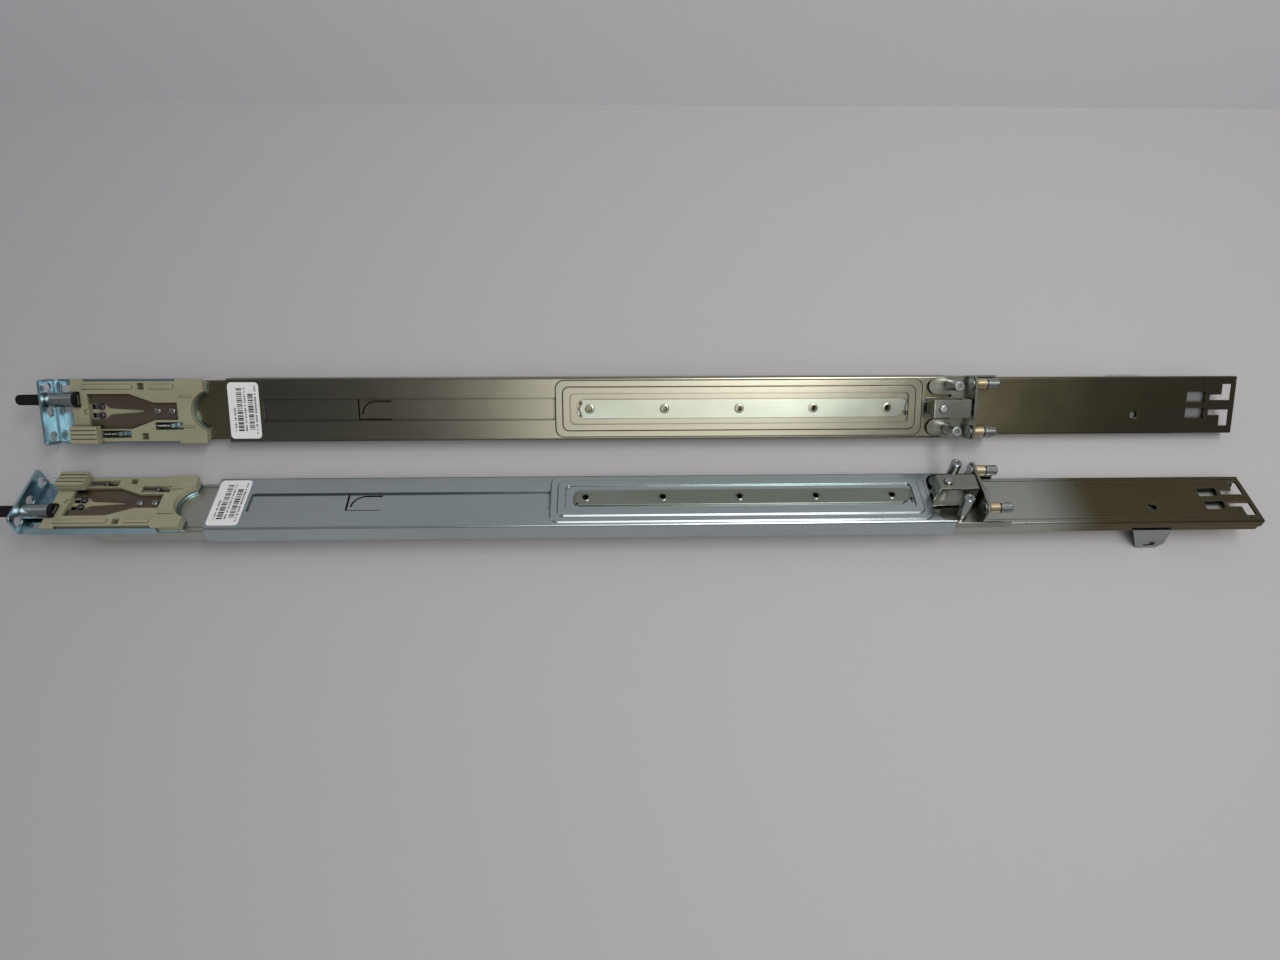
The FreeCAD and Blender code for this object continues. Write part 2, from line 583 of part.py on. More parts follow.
def cabinet_channel(rail):
    """The long steel channel that stays with the rack post; the balls run inside it."""
    body = rail.body("cabinet_channel")
    inner = "channel_half - channel_wall"
    half_section = (
        ("channel_half", "web_top"),
        ("channel_half", "jog_top"),
        ("channel_half - jog", "jog_top - jog"),
        ("channel_half - jog", "channel_bottom"),
        (f"{inner} - jog", "channel_bottom"),
        (f"{inner} - jog", "jog_top - slip - jog"),
        (inner, "jog_top - slip"),
        (inner, "web_top - web_sheet"),
    )
    points = list(half_section) + [(f"-({y})", z) for y, z in reversed(half_section)]
    extrusion(body, "channel_front", "channel_rear", lambda s: add_outline(s, points))
    top = value_of("web_top")
    dress(body, "Fillet", edges_where(body, lambda b: long_edges(b) and near(b.ZMax, top)),
          "channel_bend")

    def races(sketch):
        for place in ("outer_ball_place", "-(outer_ball_place)"):
            add_circle(sketch, place, "outer_ball_level", "outer_ball_radius + race_play")
    groove_along(body, "channel_front", "channel_rear", races)

    def creases(sketch):
        low = "crease_place - crease_width / 2"
        high = "crease_place + crease_width / 2"
        add_box(sketch, "channel_front", "channel_rear", low, high)
        add_box(sketch, "channel_front", "channel_rear", f"-({high})", f"-({low})")
    cut_down(body, "web_top", "crease_depth", creases)

    def rear_slots(sketch):
        outer = "arm_slot_inner + arm_slot_width"
        rear = "arm_slot_front + arm_slot_length"
        for sign in ("", "-"):
            low, high = f"{sign}(arm_slot_inner)", f"{sign}({outer})"
            add_box(sketch, "arm_slot_front", rear, low, high)
            leg = "hook_slot_inner + hook_slot_width"
            corner = "hook_slot_rear - hook_leg"
            add_outline(sketch, (
                ("hook_slot_front", f"{sign}(hook_slot_inner)"),
                ("hook_slot_rear", f"{sign}(hook_slot_inner)"),
                ("hook_slot_rear", f"{sign}(hook_reach)"),
                (corner, f"{sign}(hook_reach)"),
                (corner, f"{sign}({leg})"),
                ("hook_slot_front", f"{sign}({leg})"),
            ))
        add_circle(sketch, "rear_hole_place", "-(rear_hole_offset)", "rear_hole_radius")
        for place in ("joint_rivet_front", "joint_rivet_rear"):
            for sign in ("", "-"):
                add_circle(sketch, place, f"{sign}(joint_rivet_offset)", "joint_rivet_radius")
    cut_down(body, "web_top", "web_sheet", rear_slots)


def sliding_channel(rail, label, part, lips):
    """A plain channel that runs on balls; part is the first word of its sizes' names."""
    body = rail.body(label)
    top, wall, half = f"{part}_top", f"{part}_wall", f"{part}_half"
    bottom = f"{part}_bottom"
    half_section = [(half, top)]
    if lips:
        lip_top = f"{bottom} + {wall}"
        half_section += [(half, lip_top), (f"{half} + middle_lip", lip_top),
                         (f"{half} + middle_lip", bottom)]
    else:
        half_section += [(half, bottom)]
    half_section += [(f"{half} - {wall}", bottom), (f"{half} - {wall}", f"{top} - {wall}")]
    points = half_section + [(f"-({y})", z) for y, z in reversed(half_section)]
    extrusion(body, f"{part}_front", f"{part}_rear", lambda s: add_outline(s, points))
    level = value_of(top)
    dress(body, "Fillet", edges_where(body, lambda b: long_edges(b) and near(b.ZMax, level)),
          "slide_bend")
    return body


def add_races(body, part, balls):
    """Shallow round tracks for a set of balls along a sliding channel."""
    def tracks(sketch):
        for sign in ("", "-"):
            add_circle(sketch, f"{sign}({balls}_ball_place)", f"{balls}_ball_level",
                       f"{balls}_ball_radius + race_play")
    groove_along(body, f"{part}_front", f"{part}_rear", tracks)


def intermediate_channel(rail):
    """The middle member: balls run on both sides of its flanges."""
    body = sliding_channel(rail, "intermediate_channel", "middle", lips=True)
    add_races(body, "middle", "outer")
    add_races(body, "middle", "inner")


def inner_channel(rail):
    """The member that stays on the server, with keyholes for its studs."""
    body = sliding_channel(rail, "inner_channel", "inner", lips=False)
    add_races(body, "inner", "inner")

    def keyholes(sketch):
        for number in range(int(value_of("key_count"))):
            add_circle(sketch, f"key_first + {number} * key_pitch", "0", "key_radius")
        add_circle(sketch, "lever_pivot", "0", "lever_pin_radius")

    def key_slots(sketch):
        for number in range(int(value_of("key_count"))):
            place = f"key_first + {number} * key_pitch"
            add_box(sketch, place, f"{place} + key_slot_length", "-key_slot_half", "key_slot_half")
    cut_down(body, "inner_top", "inner_wall", keyholes)
    cut_down(body, "inner_top", "inner_wall", key_slots)


def ball_cage(rail, part):
    """A thin channel whose arms hold one row of balls on each side."""
    body = rail.body(f"{part}_cage")
    top, sheet_name, bottom = f"{part}_cage_top", f"{part}_cage_sheet", f"{part}_cage_bottom"
    out = f"{part}_ball_place + {sheet_name} / 2"
    half_section = ((out, top), (out, bottom), (f"{out} - {sheet_name}", bottom),
                    (f"{out} - {sheet_name}", f"{top} - {sheet_name}"))
    points = list(half_section) + [(f"-({y})", z) for y, z in reversed(half_section)]
    extrusion(body, "cage_front", "cage_rear", lambda s: add_outline(s, points))
    holes = new_sketch(body, SIDE, out)
    for number in range(int(value_of("ball_count"))):
        add_circle(holes, ball_place(number), f"{part}_ball_level",
                   f"{part}_ball_radius + cage_hole_play")
    pocket(body, holes, f"2 * ({out})")


def ball_place(number):
    """Where ball number lies along the rail, with the row centred in its cage."""
    return f"(cage_front + cage_rear) / 2 + ({number} - (ball_count - 1) / 2) * ball_pitch"


def balls(rail, part):
    """Two rows of balls, each ball a solid of its own."""
    spheres = []
    for sign in ("", "-"):
        for number in range(int(value_of("ball_count"))):
            ball = doc.addObject("Part::Sphere", "Ball")
            bind(ball, "Radius", f"{part}_ball_radius")
            bind(ball, ".Placement.Base.x", ball_place(number))
            bind(ball, ".Placement.Base.y", f"{sign}({part}_ball_place)")
            bind(ball, ".Placement.Base.z", f"{part}_ball_level")
            spheres.append(ball)
    group = doc.addObject("Part::Compound", f"{rail.name}_{part}_balls")
    group.Label = f"{rail.name}_{part}_balls"
    group.Links = spheres
    rail.parts.append(group)


def slide_stop(rail):
    """A moulded block that ends the inner channel's way back."""
    body = rail.body("slide_stop")
    front = "inner_rear + stop_gap"
    under = "middle_top - middle_wall"
    half = "middle_half - middle_wall"
    slab(body, "stop_bottom", f"{under} - stop_bottom",
         lambda s: add_box(s, front, f"{front} + stop_length", f"-({half})", half))
    dress(body, "Chamfer", edges_where(body, upright_edges), "slide_bend")


def release_lever(rail):
    """The lever that frees the server from the rail, and the rivet it turns on."""
    lever = rail.body("release_lever")
    top = "inner_top - inner_wall - lever_gap"
    low = f"{top} - lever_thick"

    def shape(sketch):
        add_box(sketch, "lever_nose", "lever_tail", "-lever_half", "lever_half")
    slab(lever, low, "lever_thick", shape)
    dress(lever, "Fillet", edges_where(lever, upright_edges), "lever_half * 0.6")
    slab(lever, low, "lever_thick",
         lambda s: add_circle(s, "lever_pivot", "0", "lever_boss"))
    cut_down(lever, top, "lever_thick",
             lambda s: add_circle(s, "lever_pivot", "0", "lever_pin_radius + lever_play"))

    pivot = rail.body("lever_pivot")
    head = f"{low} - lever_play - lever_pin_rise"
    slab(pivot, head, "lever_pin_rise",
         lambda s: add_circle(s, "lever_pivot", "0", "lever_pin_head"))
    slab(pivot, f"{head} + lever_pin_rise", f"inner_top - ({head} + lever_pin_rise)",
         lambda s: add_circle(s, "lever_pivot", "0", "lever_pin_radius"))


# ---------------------------------------------------------------- depth sleeve

def depth_sleeve(rail):
    """The sleeve that slides back over the cabinet channel to suit the rack's depth."""
    body = rail.body("depth_sleeve")
    inner = "channel_half + slip"
    outer = f"{inner} + sleeve_sheet"
    half_section = (
        (outer, "0"),
        (outer, "-sleeve_depth"),
        (f"{inner} - sleeve_lip", "-sleeve_depth"),
        (f"{inner} - sleeve_lip", "-sleeve_depth + sleeve_sheet - lip_thinning"),
        (inner, "-sleeve_depth + sleeve_sheet - lip_thinning"),
        (inner, "-sleeve_sheet"),
    )
    points = list(half_section) + [(f"-({y})", z) for y, z in reversed(half_section)]
    extrusion(body, "sleeve_front", "sleeve_rear", lambda s: add_outline(s, points))
    dress(body, "Fillet", edges_where(body, lambda b: long_edges(b) and near(b.ZMax, 0)),
          "sleeve_bend")

    under_band = "band_half + sleeve_sheet"
    slab(body, "-band_depth - sleeve_sheet", "band_depth",
         lambda s: add_box(s, "band_front - sleeve_sheet", "stamp_front + sleeve_sheet",
                           f"-({under_band})", under_band))
    cut_down(body, "0", "band_depth",
             lambda s: add_box(s, "band_front", "stamp_front", "-band_half", "band_half"))

    second = ("stamp_front + second_inset", f"{STAMP_REAR} - second_inset")
    third = ("stamp_front + third_inset", f"{STAMP_REAR} - third_inset")
    wall = "sleeve_sheet"
    step = "stamp_step"
    rounded_step(body, "0", step, ("stamp_front", STAMP_REAR), "stamp_half", "stamp_corner")
    slope_top_edges(body, "stamp_step")
    rounded_step(body, step, step, second, "second_half", "second_corner")
    slope_top_edges(body, "2 * stamp_step")
    rounded_step(body, f"-{wall}", step, (f"stamp_front + {wall}", f"{STAMP_REAR} - {wall}"),
                 f"stamp_half - {wall}", f"stamp_corner - {wall}", cutting=True)
    rounded_step(body, f"{step} - {wall}", step, (f"{second[0]} + {wall}", f"{second[1]} - {wall}"),
                 f"second_half - {wall}", f"second_corner - {wall}", cutting=True)
    rounded_step(body, f"{step} - {wall}", wall, (f"{third[0]} - {wall}", f"{third[1]} + {wall}"),
                 f"third_half + {wall}", f"third_corner + {wall}")
    rounded_step(body, step, step, third, "third_half", "third_corner", cutting=True)

    def floor_holes(sketch):
        for number in range(int(value_of("nut_count"))):
            add_circle(sketch, f"nut_first + {number} * nut_pitch", "0", "collar_radius + slip")
    cut_down(body, step, "sleeve_sheet", floor_holes)

    lower = "-(window_half)"
    bottom = "-band_depth - sleeve_sheet"

    def window(sketch):
        add_outline(sketch, (
            ("window_front", "window_half"),
            ("window_front", lower),
            ("window_rear", lower),
            ("window_rear", f"{lower} + window_slit"),
            ("window_front + window_slit", f"{lower} + window_slit"),
            ("window_front + window_slit", "window_half"),
        ))
    cut_down(body, "-band_depth", "sleeve_sheet", window)
    centre_x = "window_front + 3 * window_slit + hook_radius"
    centre_y = f"{lower} + 3 * window_slit"

    def hook_arc(sketch):
        add_quarter_ring(sketch, centre_x, centre_y, "hook_radius", "hook_radius + window_slit", 1)
    cut_down(body, "-band_depth", "sleeve_sheet", hook_arc)
    cut_down(body, "-band_depth", "sleeve_sheet",
             lambda s: add_box(s, centre_x, "window_rear", f"{centre_y} + hook_radius",
                               f"{centre_y} + hook_radius + window_slit"))

    def rear_opening(sketch):
        add_rounded_box(sketch, OPENING_FRONT, "sleeve_rear + 2 * opening_corner", inner,
                        "opening_corner")
    cut_down(body, "stamp_step", "stamp_step + sleeve_sheet + band_depth", rear_opening)


def slope_top_edges(body, level):
    """Slope the upper edges of the step that was just raised to a level."""
    height = value_of(level)
    dress(body, "Chamfer",
          edges_where(body, lambda b: near(b.ZMin, height) and near(b.ZMax, height)),
          "stamp_slope")


def nut_strip(rail):
    """The strip with threaded holes that lies on the sunk floor of the stamped pad."""
    body = rail.body("nut_strip")
    bend = f"{STRIP_REAR} + strip_tail / 2"
    tail = f"{STRIP_REAR} + strip_tail"
    slab(body, "stamp_step", "strip_sheet", lambda s: add_outline(s, (
        ("strip_front", "-strip_half"),
        (STRIP_REAR, "-strip_half"),
        (bend, "-strip_half * 2 / 3"),
        (bend, "-strip_half / 3"),
        (tail, "-strip_half / 3"),
        (tail, "strip_half * 2 / 3"),
        (bend, "strip_half"),
        ("strip_front", "strip_half"),
        ("strip_front", "strip_half / 2"),
        ("strip_front - strip_end", "strip_half / 2"),
        ("strip_front - strip_end", "-strip_half * 2 / 3"),
        ("strip_front", "-strip_half * 2 / 3"),
    )))

    def rings(radius):
        def draw(sketch):
            for number in range(int(value_of("nut_count"))):
                add_circle(sketch, f"nut_first + {number} * nut_pitch", "0", radius)
        return draw
    slab(body, "stamp_step - collar_depth", "collar_depth", rings("collar_radius"))
    cut_down(body, "stamp_step + strip_sheet", "strip_sheet + collar_depth",
             rings("thread_radius"))


def label(rail):
    """A blank label on the sleeve's front end."""
    body = rail.body("label")
    front = "sleeve_front + label_gap"
    sketch = new_sketch(body, FLAT, "0")
    add_rounded_box(sketch, front, f"{front} + label_width", "label_length / 2", "label_corner")
    pad(body, sketch, "label_film")


# ---------------------------------------------------------------- rear bracket

def rear_bracket(rail):
    """The folded bracket at the sleeve's rear: two lobes, side ears and the upright plate."""
    body = rail.body("rear_bracket")
    top = "-sleeve_sheet"
    low = "-sleeve_sheet - rear_sheet"
    inner = "channel_half + slip"
    outer = f"{inner} + sleeve_sheet"
    ear_front = "sleeve_rear + slip"
    lobe_front = f"{REAR_PLATE} - lobe_length"
    cross_front = f"{REAR_PLATE} - cross_length"
    for sign in ("", "-"):
        slab(body, low, "rear_sheet",
             lambda s, sign=sign: add_box(s, lobe_front, cross_front, f"{sign}(lobe_inner)",
                                          f"{sign}({inner})"))
    front = value_of(lobe_front)
    corners = edges_where(body, lambda b: upright_edges(b) and near(b.XMin, front))
    dress(body, "Fillet", corners, "lobe_corner")
    slab(body, low, "rear_sheet",
         lambda s: add_box(s, TONGUE_FRONT, cross_front, "-base_tongue_half", "base_tongue_half"))
    slab(body, low, "rear_sheet",
         lambda s: add_box(s, cross_front, REAR_PLATE, f"-({inner})", inner))
    for sign in ("", "-"):
        slab(body, "ear_bottom", f"{top} - ear_bottom",
             lambda s, sign=sign: add_box(s, ear_front, f"{REAR_PLATE} + ear_length",
                                          f"{sign}({inner})", f"{sign}({outer})"))

    plate = new_sketch(body, SECTION, REAR_PLATE)
    corner = "rear_plate_corner"
    add_outline(plate, (
        (f"-({outer})", low),
        (outer, low),
        (outer, f"rear_plate_top - {corner}"),
        (f"{outer} - {corner}", "rear_plate_top"),
        (f"-({outer}) + {corner}", "rear_plate_top"),
        (f"-({outer})", f"rear_plate_top - {corner}"),
    ))
    pad(body, plate, "rear_plate_sheet")
    holes = new_sketch(body, SECTION, REAR_FACE)
    for sign in ("", "-"):
        add_circle(holes, f"{sign}(rack_pitch)", "pin_level", "rack_pin_shank")
    add_box(holes, "-tail_half", "tail_half", "tail_level - bridge_sheet", "tail_level")
    pocket(body, holes, "rear_plate_sheet")


def rear_bridge(rail):
    """The raised bridge over the bracket's middle, with a tail that enters the rear plate."""
    body = rail.body("rear_bridge")
    foot = "-sleeve_sheet"
    under = "bridge_top - bridge_sheet"
    rear = f"{REAR_PLATE} - bridge_gap"
    slab(body, under, "bridge_sheet",
         lambda s: add_box(s, BRIDGE_FRONT, rear, "-bridge_half", "bridge_half"))
    leg = new_sketch(body, SECTION, BRIDGE_FRONT)
    add_outline(leg, (("-bridge_foot_half", foot), ("bridge_foot_half", foot),
                      ("bridge_half", under), ("-bridge_half", under)))
    pad(body, leg, "bridge_sheet")
    extrusion(body, f"{rear} - bridge_sheet", rear,
              lambda s: add_box(s, "-bridge_half", "bridge_half", foot, under))
    extrusion(body, rear, f"{REAR_FACE} + tail_reach",
              lambda s: add_box(s, "-tail_half", "tail_half", "tail_level - bridge_sheet",
                                "tail_level"))
    top = value_of("bridge_top")
    dress(body, "Fillet",
          edges_where(body, lambda b: b.XLength < 1e-4 and near(b.ZMin, top) and near(b.ZMax, top)),
          "bridge_sheet * 0.8")
    cut_down(body, "bridge_top", "bridge_sheet",
             lambda s: add_circle(s, BRIDGE_RIVET, "0", "bridge_rivet_radius"))


def bridge_rivet(rail):
    """The round-headed rivet in the bridge's top."""
    body = rail.body("bridge_rivet")
    slab(body, "bridge_top", "bridge_rivet_rise",
         lambda s: add_circle(s, BRIDGE_RIVET, "0", "bridge_rivet_head"))
    top = value_of("bridge_top + bridge_rivet_rise")
    dress(body, "Fillet", edges_where(body, lambda b: near(b.ZMin, top)), "bridge_rivet_rise * 0.6")
    tail = "bridge_top - bridge_sheet - bridge_rivet_rise"
    slab(body, tail, f"bridge_top - ({tail})",
         lambda s: add_circle(s, BRIDGE_RIVET, "0", "bridge_rivet_radius"))


def rack_pins(rail):
    """Two pins that enter the rear rack post, and the gold collars on them."""
    pins = rail.body("rack_pins")
    tip_front = f"{REAR_FACE} + collar_length + collar_groove"
    tip = f"{REAR_FACE} + rack_pin_reach"

    def rounds(radius):
        def draw(sketch):
            for sign in ("", "-"):
                add_circle(sketch, f"{sign}(rack_pitch)", "pin_level", radius)
        return draw
    extrusion(pins, f"{REAR_PLATE} - pin_rear_rise", REAR_PLATE, rounds("pin_rear_head"))
    extrusion(pins, REAR_PLATE, tip_front, rounds("rack_pin_shank"))
    extrusion(pins, tip_front, tip, rounds("rack_pin_radius"))
    end = value_of(tip)
    dress(pins, "Chamfer", edges_where(pins, lambda b: near(b.XMin, end)), "pin_nose")
    flutes = new_sketch(pins, SECTION, tip)
    for sign in ("", "-"):
        for number in range(int(value_of("flute_count"))):
            angle = 2 * math.pi * number / value_of("flute_count")
            add_circle(flutes, f"{sign}(rack_pitch) + rack_pin_radius * {math.cos(angle):.6f}",
                       f"pin_level + rack_pin_radius * {math.sin(angle):.6f}", "flute_radius")
    pocket(pins, flutes, f"{tip} - ({tip_front})")

    collars = rail.body("pin_collars")
    extrusion(collars, REAR_FACE, f"{REAR_FACE} + collar_length", rounds("collar_outer"))
    groove_along(collars, REAR_FACE, f"{REAR_FACE} + collar_length",
                 rounds("rack_pin_shank + collar_play"))


def guide_posts(rail):
    """Two tall posts on the lobes, with a dimple in each top."""
    body = rail.body("guide_posts")

    def rounds(radius):
        def draw(sketch):
            for sign in ("", "-"):
                add_circle(sketch, POST_PLACE, f"{sign}(post_offset)", radius)
        return draw
    slab(body, "-sleeve_sheet", "post_top + sleeve_sheet", rounds("post_radius"))
    top = value_of("post_top")
    dress(body, "Chamfer", edges_where(body, lambda b: near(b.ZMin, top)), "post_edge")
    cut_down(body, "post_top", "post_dimple_depth", rounds("post_dimple"))


# ---------------------------------------------------------------- front latch

def front_bracket(rail):
    """The folded front bracket: the upright plate, a web and two side walls."""
    body = rail.body("front_bracket")
    back = "plate_front + plate_sheet"
    web_low = "web_top"
    web_high = "web_top + plate_sheet"
    wall_inner = "plate_half - plate_sheet"

    plate = new_sketch(body, SECTION, "plate_front")
    corner = "plate_corner"
    add_outline(plate, (
        ("-(plate_half)", f"plate_bottom + {corner}"),
        (f"-(plate_half) + {corner}", "plate_bottom"),
        (f"plate_half - {corner}", "plate_bottom"),
        ("plate_half", f"plate_bottom + {corner}"),
        ("plate_half", f"plate_top - {corner} / 2"),
        (f"plate_half - {corner} / 2", "plate_top"),
        (f"-(plate_half) + {corner} / 2", "plate_top"),
        ("-(plate_half)", f"plate_top - {corner} / 2"),
    ))
    pad(body, plate, "plate_sheet")
    slab(body, web_low, "plate_sheet",
         lambda s: add_box(s, back, "bracket_rear", f"-({wall_inner})", wall_inner))
    for sign in ("", "-"):
        slab(body, web_low, f"bracket_wall_top - ({web_low})",
             lambda s, sign=sign: add_box(s, f"{back} + bracket_bend", "bracket_wall_rear",
                                          f"{sign}({wall_inner})", f"{sign}(plate_half)"))
    cut_down(body, web_high, "plate_sheet",
             lambda s: add_circle(s, "scoop_centre", "0", "scoop_radius - scoop_lip"))

    holes = new_sketch(body, SECTION, back)
    for place in ("rack_pitch", "0", "-(rack_pitch)"):
        add_circle(holes, place, "plate_hole_level", "rack_hole_radius")
    add_circle(holes, rail.side("rack_pitch / 2"), "strap_level", "bush_spigot")
    pocket(body, holes, "plate_sheet")

    def web_cuts(sketch):
        for sign in (1, -1):
            near_side = f"rack_pitch / 2 + {sign} * (bush_radius + slip)"
            far_side = f"rack_pitch / 2 + {sign} * (bush_radius + slip + rib_slot_width)"
            rail.handed_box(sketch, "rib_slot_front", "rib_slot_rear", near_side, far_side)
        for place in ("joint_rivet_front", "joint_rivet_rear"):
            for sign in ("", "-"):
                add_circle(sketch, place, f"{sign}(joint_rivet_offset)", "joint_rivet_radius")
    cut_down(body, web_high, "plate_sheet", web_cuts)


def joint_rivets(rail):
    """Four flush rivets that join the bracket to the cabinet channel."""
    body = rail.body("joint_rivets")

    def rounds(sketch):
        for place in ("joint_rivet_front", "joint_rivet_rear"):
            for sign in ("", "-"):
                add_circle(sketch, place, f"{sign}(joint_rivet_offset)", "joint_rivet_radius")
    slab(body, "web_top - web_sheet", "web_sheet + plate_sheet", rounds)


def fork_points(room):
    """The fork spring's outline, or its bed's outline with room round it."""
    return (
        (f"fork_front - {room}", f"-(fork_half + {room})"),
        ("fork_knee", f"-(fork_half + {room})"),
        ("fork_waist", f"-(fork_tail_half + {room})"),
        (f"fork_rear + {room}", f"-(fork_tail_half + {room})"),
        (f"fork_rear + {room}", f"fork_tail_half + {room}"),
        ("fork_waist", f"fork_tail_half + {room}"),
        ("fork_knee", f"fork_half + {room}"),
        (f"fork_front - {room}", f"fork_half + {room}"),
    )


def latch_housing(rail):
    """The moulded housing that carries the latch, with a ribbed grip block."""
    body = rail.body("latch_housing")
    low = "web_top + plate_sheet"
    narrow = "plate_half - plate_sheet"
    slab(body, low, f"housing_top - ({low})",
         lambda s: add_box(s, "housing_front", "bracket_rear", f"-({narrow})", narrow))
    rim = "bracket_wall_top"
    slab(body, rim, f"housing_top - {rim}", lambda s: add_box(
        s, "housing_front", "housing_shoulder_front", "-(plate_half)", "plate_half"))
    slab(body, rim, f"housing_top - {rim}", lambda s: add_box(
        s, "housing_shoulder_rear", "bracket_rear", "-(plate_half)", "plate_half"))
    side = value_of("plate_half")
    dress(body, "Fillet", edges_where(body, lambda b: upright_edges(b) and near(abs(b.YMin), side)),
          "plate_corner / 3")
    slab(body, rim, f"grip_top - {rim}", lambda s: rail.handed_box(
        s, "grip_front", "grip_rear", "-(grip_outer)", "-(grip_inner)"))
    top = value_of("grip_top")
    dress(body, "Fillet", edges_where(body, lambda b: near(b.ZMin, top)), "grip_groove")

    def grooves(sketch):
        for number in (1, 2, 3):
            edge = f"-(grip_inner) - {number} * grip_pitch"
            rail.handed_box(sketch, "grip_front", "grip_rear", edge, f"{edge} + grip_groove")
    cut_down(body, "grip_top", "grip_groove", grooves)

    cut_down(body, "housing_top", "housing_top - housing_floor",
             lambda s: add_outline(s, fork_points("fork_room")))
    cut_down(body, "housing_top", f"housing_top - ({low})",
             lambda s: add_circle(s, "scoop_centre", "0", "scoop_radius"))

    def dimples(sketch):
        for place in ("rack_pitch", "0"):
            add_circle(sketch, "housing_shoulder_front", rail.side(place), "dimple_radius")
    cut_down(body, "housing_top", "dimple_depth", dimples)

    def clip_holes(sketch):
        half = "clip_hole_side / 2"
        for sign in ("", "-"):
            add_box(sketch, f"clip_hole_place - {half}", f"clip_hole_place + {half}",
                    f"{sign}(joint_rivet_offset - {half})", f"{sign}(joint_rivet_offset + {half})")
    cut_down(body, "housing_top", "clip_hole_depth", clip_holes)

    def spring_slots(sketch):
        for part in ("long", "short"):
            low_edge = f"-({part}_slot_place) - spring_slot_width / 2"
            high_edge = f"-({part}_slot_place) + spring_slot_width / 2"
            rail.handed_box(sketch, f"{part}_slot_front",
                            f"{part}_slot_front + {part}_slot_length", low_edge, high_edge)
    cut_down(body, "housing_top", f"housing_top - ({low})", spring_slots)

    def bush_notch(sketch):
        middle = "rack_pitch / 2"
        room = "bush_radius + slip"
        rail.handed_box(sketch, "housing_front", "slide_upright + slide_upright_sheet + slip",
                        f"{middle} - ({room})", f"{middle} + {room}")
    cut_down(body, "housing_top", f"housing_top - ({low})", bush_notch)

    roof = f"{low} + slide_sheet + 2 * slide_gap"
    cut_down(body, roof, f"{roof} - ({low})",
             lambda s: rail.handed_outline(s, slide_points("latch_travel + slip", "slip")))

    def pin_room(sketch):
        room = "pin_radius + slip"
        for place in ("pin_high", "pin_low"):
            rail.handed_box(sketch, f"pin_place - latch_travel - ({room})", f"pin_place + {room}",
                            f"{place} - ({room})", f"{place} + {room}")
    cut_down(body, "housing_floor", f"housing_floor - ({low})", pin_room)

    def rivet_holes(sketch):
        for place in ("fork_rivet_first", "fork_rivet_second"):
            add_circle(sketch, place, "0", "fork_rivet_radius")
    cut_down(body, "housing_floor", f"housing_floor - ({low})", rivet_holes)


def slide_points(ahead, beside):
    """The latch slide's outline in plan; ahead and beside widen it into its cavity."""
    middle = "rack_pitch / 2"
    return (
        (f"slide_upright - ({ahead})", f"{middle} - slide_upright_half - {beside}"),
        (f"slide_cross_front - ({ahead})", f"{middle} - slide_upright_half - {beside}"),
        (f"slide_cross_front - ({ahead})", f"-(long_slot_place) - lug_half - {beside}"),
        (f"slide_cross_rear + {beside} + slide_foot", f"-(long_slot_place) - lug_half - {beside}"),
        (f"slide_cross_rear + {beside} + slide_foot", f"-(short_slot_place) - lug_half - {beside}"),
        (f"slide_rear + {beside}", f"-(short_slot_place) - lug_half - {beside}"),
        (f"slide_rear + {beside}", f"-(short_slot_place) + lug_half + {beside}"),
        (f"slide_cross_rear + {beside}", f"-(short_slot_place) + lug_half + {beside}"),
        (f"slide_cross_rear + {beside}", f"{middle} + slide_upright_half + {beside}"),
        (f"slide_upright - ({ahead})", f"{middle} + slide_upright_half + {beside}"),
    )


def latch_slide(rail):
    """The hidden steel slide that the strap pulls; its lugs press the two springs."""
    body = rail.body("latch_slide")
    low = "web_top + plate_sheet + slide_gap"
    high = f"{low} + slide_sheet"
    slab(body, low, "slide_sheet", lambda s: rail.handed_outline(s, slide_points("0", "0")))
    middle = "rack_pitch / 2"
    slab(body, low, f"strap_level + strap_rod_radius - ({low})", lambda s: rail.handed_box(
        s, "slide_upright", "slide_upright + slide_upright_sheet",
        f"{middle} - slide_upright_half", f"{middle} + slide_upright_half"))
    for part in ("long", "short"):
        slab(body, high, f"lug_top - ({high})", lambda s, part=part: rail.handed_box(
            s, f"{part}_lug", f"{part}_lug + lug_sheet",
            f"-({part}_slot_place) - lug_half", f"-({part}_slot_place) + lug_half"))


def latch_pins(rail):
    """Two dark round-headed pins that stand on the latch slide in the fork's mouth."""
    body = rail.body("latch_pins")
    base = "web_top + plate_sheet + slide_gap + slide_sheet"

    def rounds(radius):
        def draw(sketch):
            for place in ("pin_high", "pin_low"):
                add_circle(sketch, "pin_place", rail.side(place), radius)
        return draw
    slab(body, base, f"pin_head_top - ({base})", rounds("pin_radius"))
    slab(body, "pin_head_low", "pin_head_top - pin_head_low", rounds("pin_head"))
    top = value_of("pin_head_top")
    dress(body, "Fillet", edges_where(body, lambda b: near(b.ZMin, top)), "pin_head * 0.3")


def latch_springs(rail):
    """Two coil springs in their slots, each drawn here as the tube it fills."""
    body = rail.body("latch_springs")
    level = "(web_top + plate_sheet + slide_gap + slide_sheet + lug_top) / 2"
    for part in ("long", "short"):
        def rings(sketch, part=part):
            place = rail.side(f"-({part}_slot_place)")
            add_circle(sketch, place, level, "spring_radius")
            add_circle(sketch, place, level, "spring_radius - spring_wire")
        extrusion(body, f"{part}_slot_front", f"{part}_lug", rings)


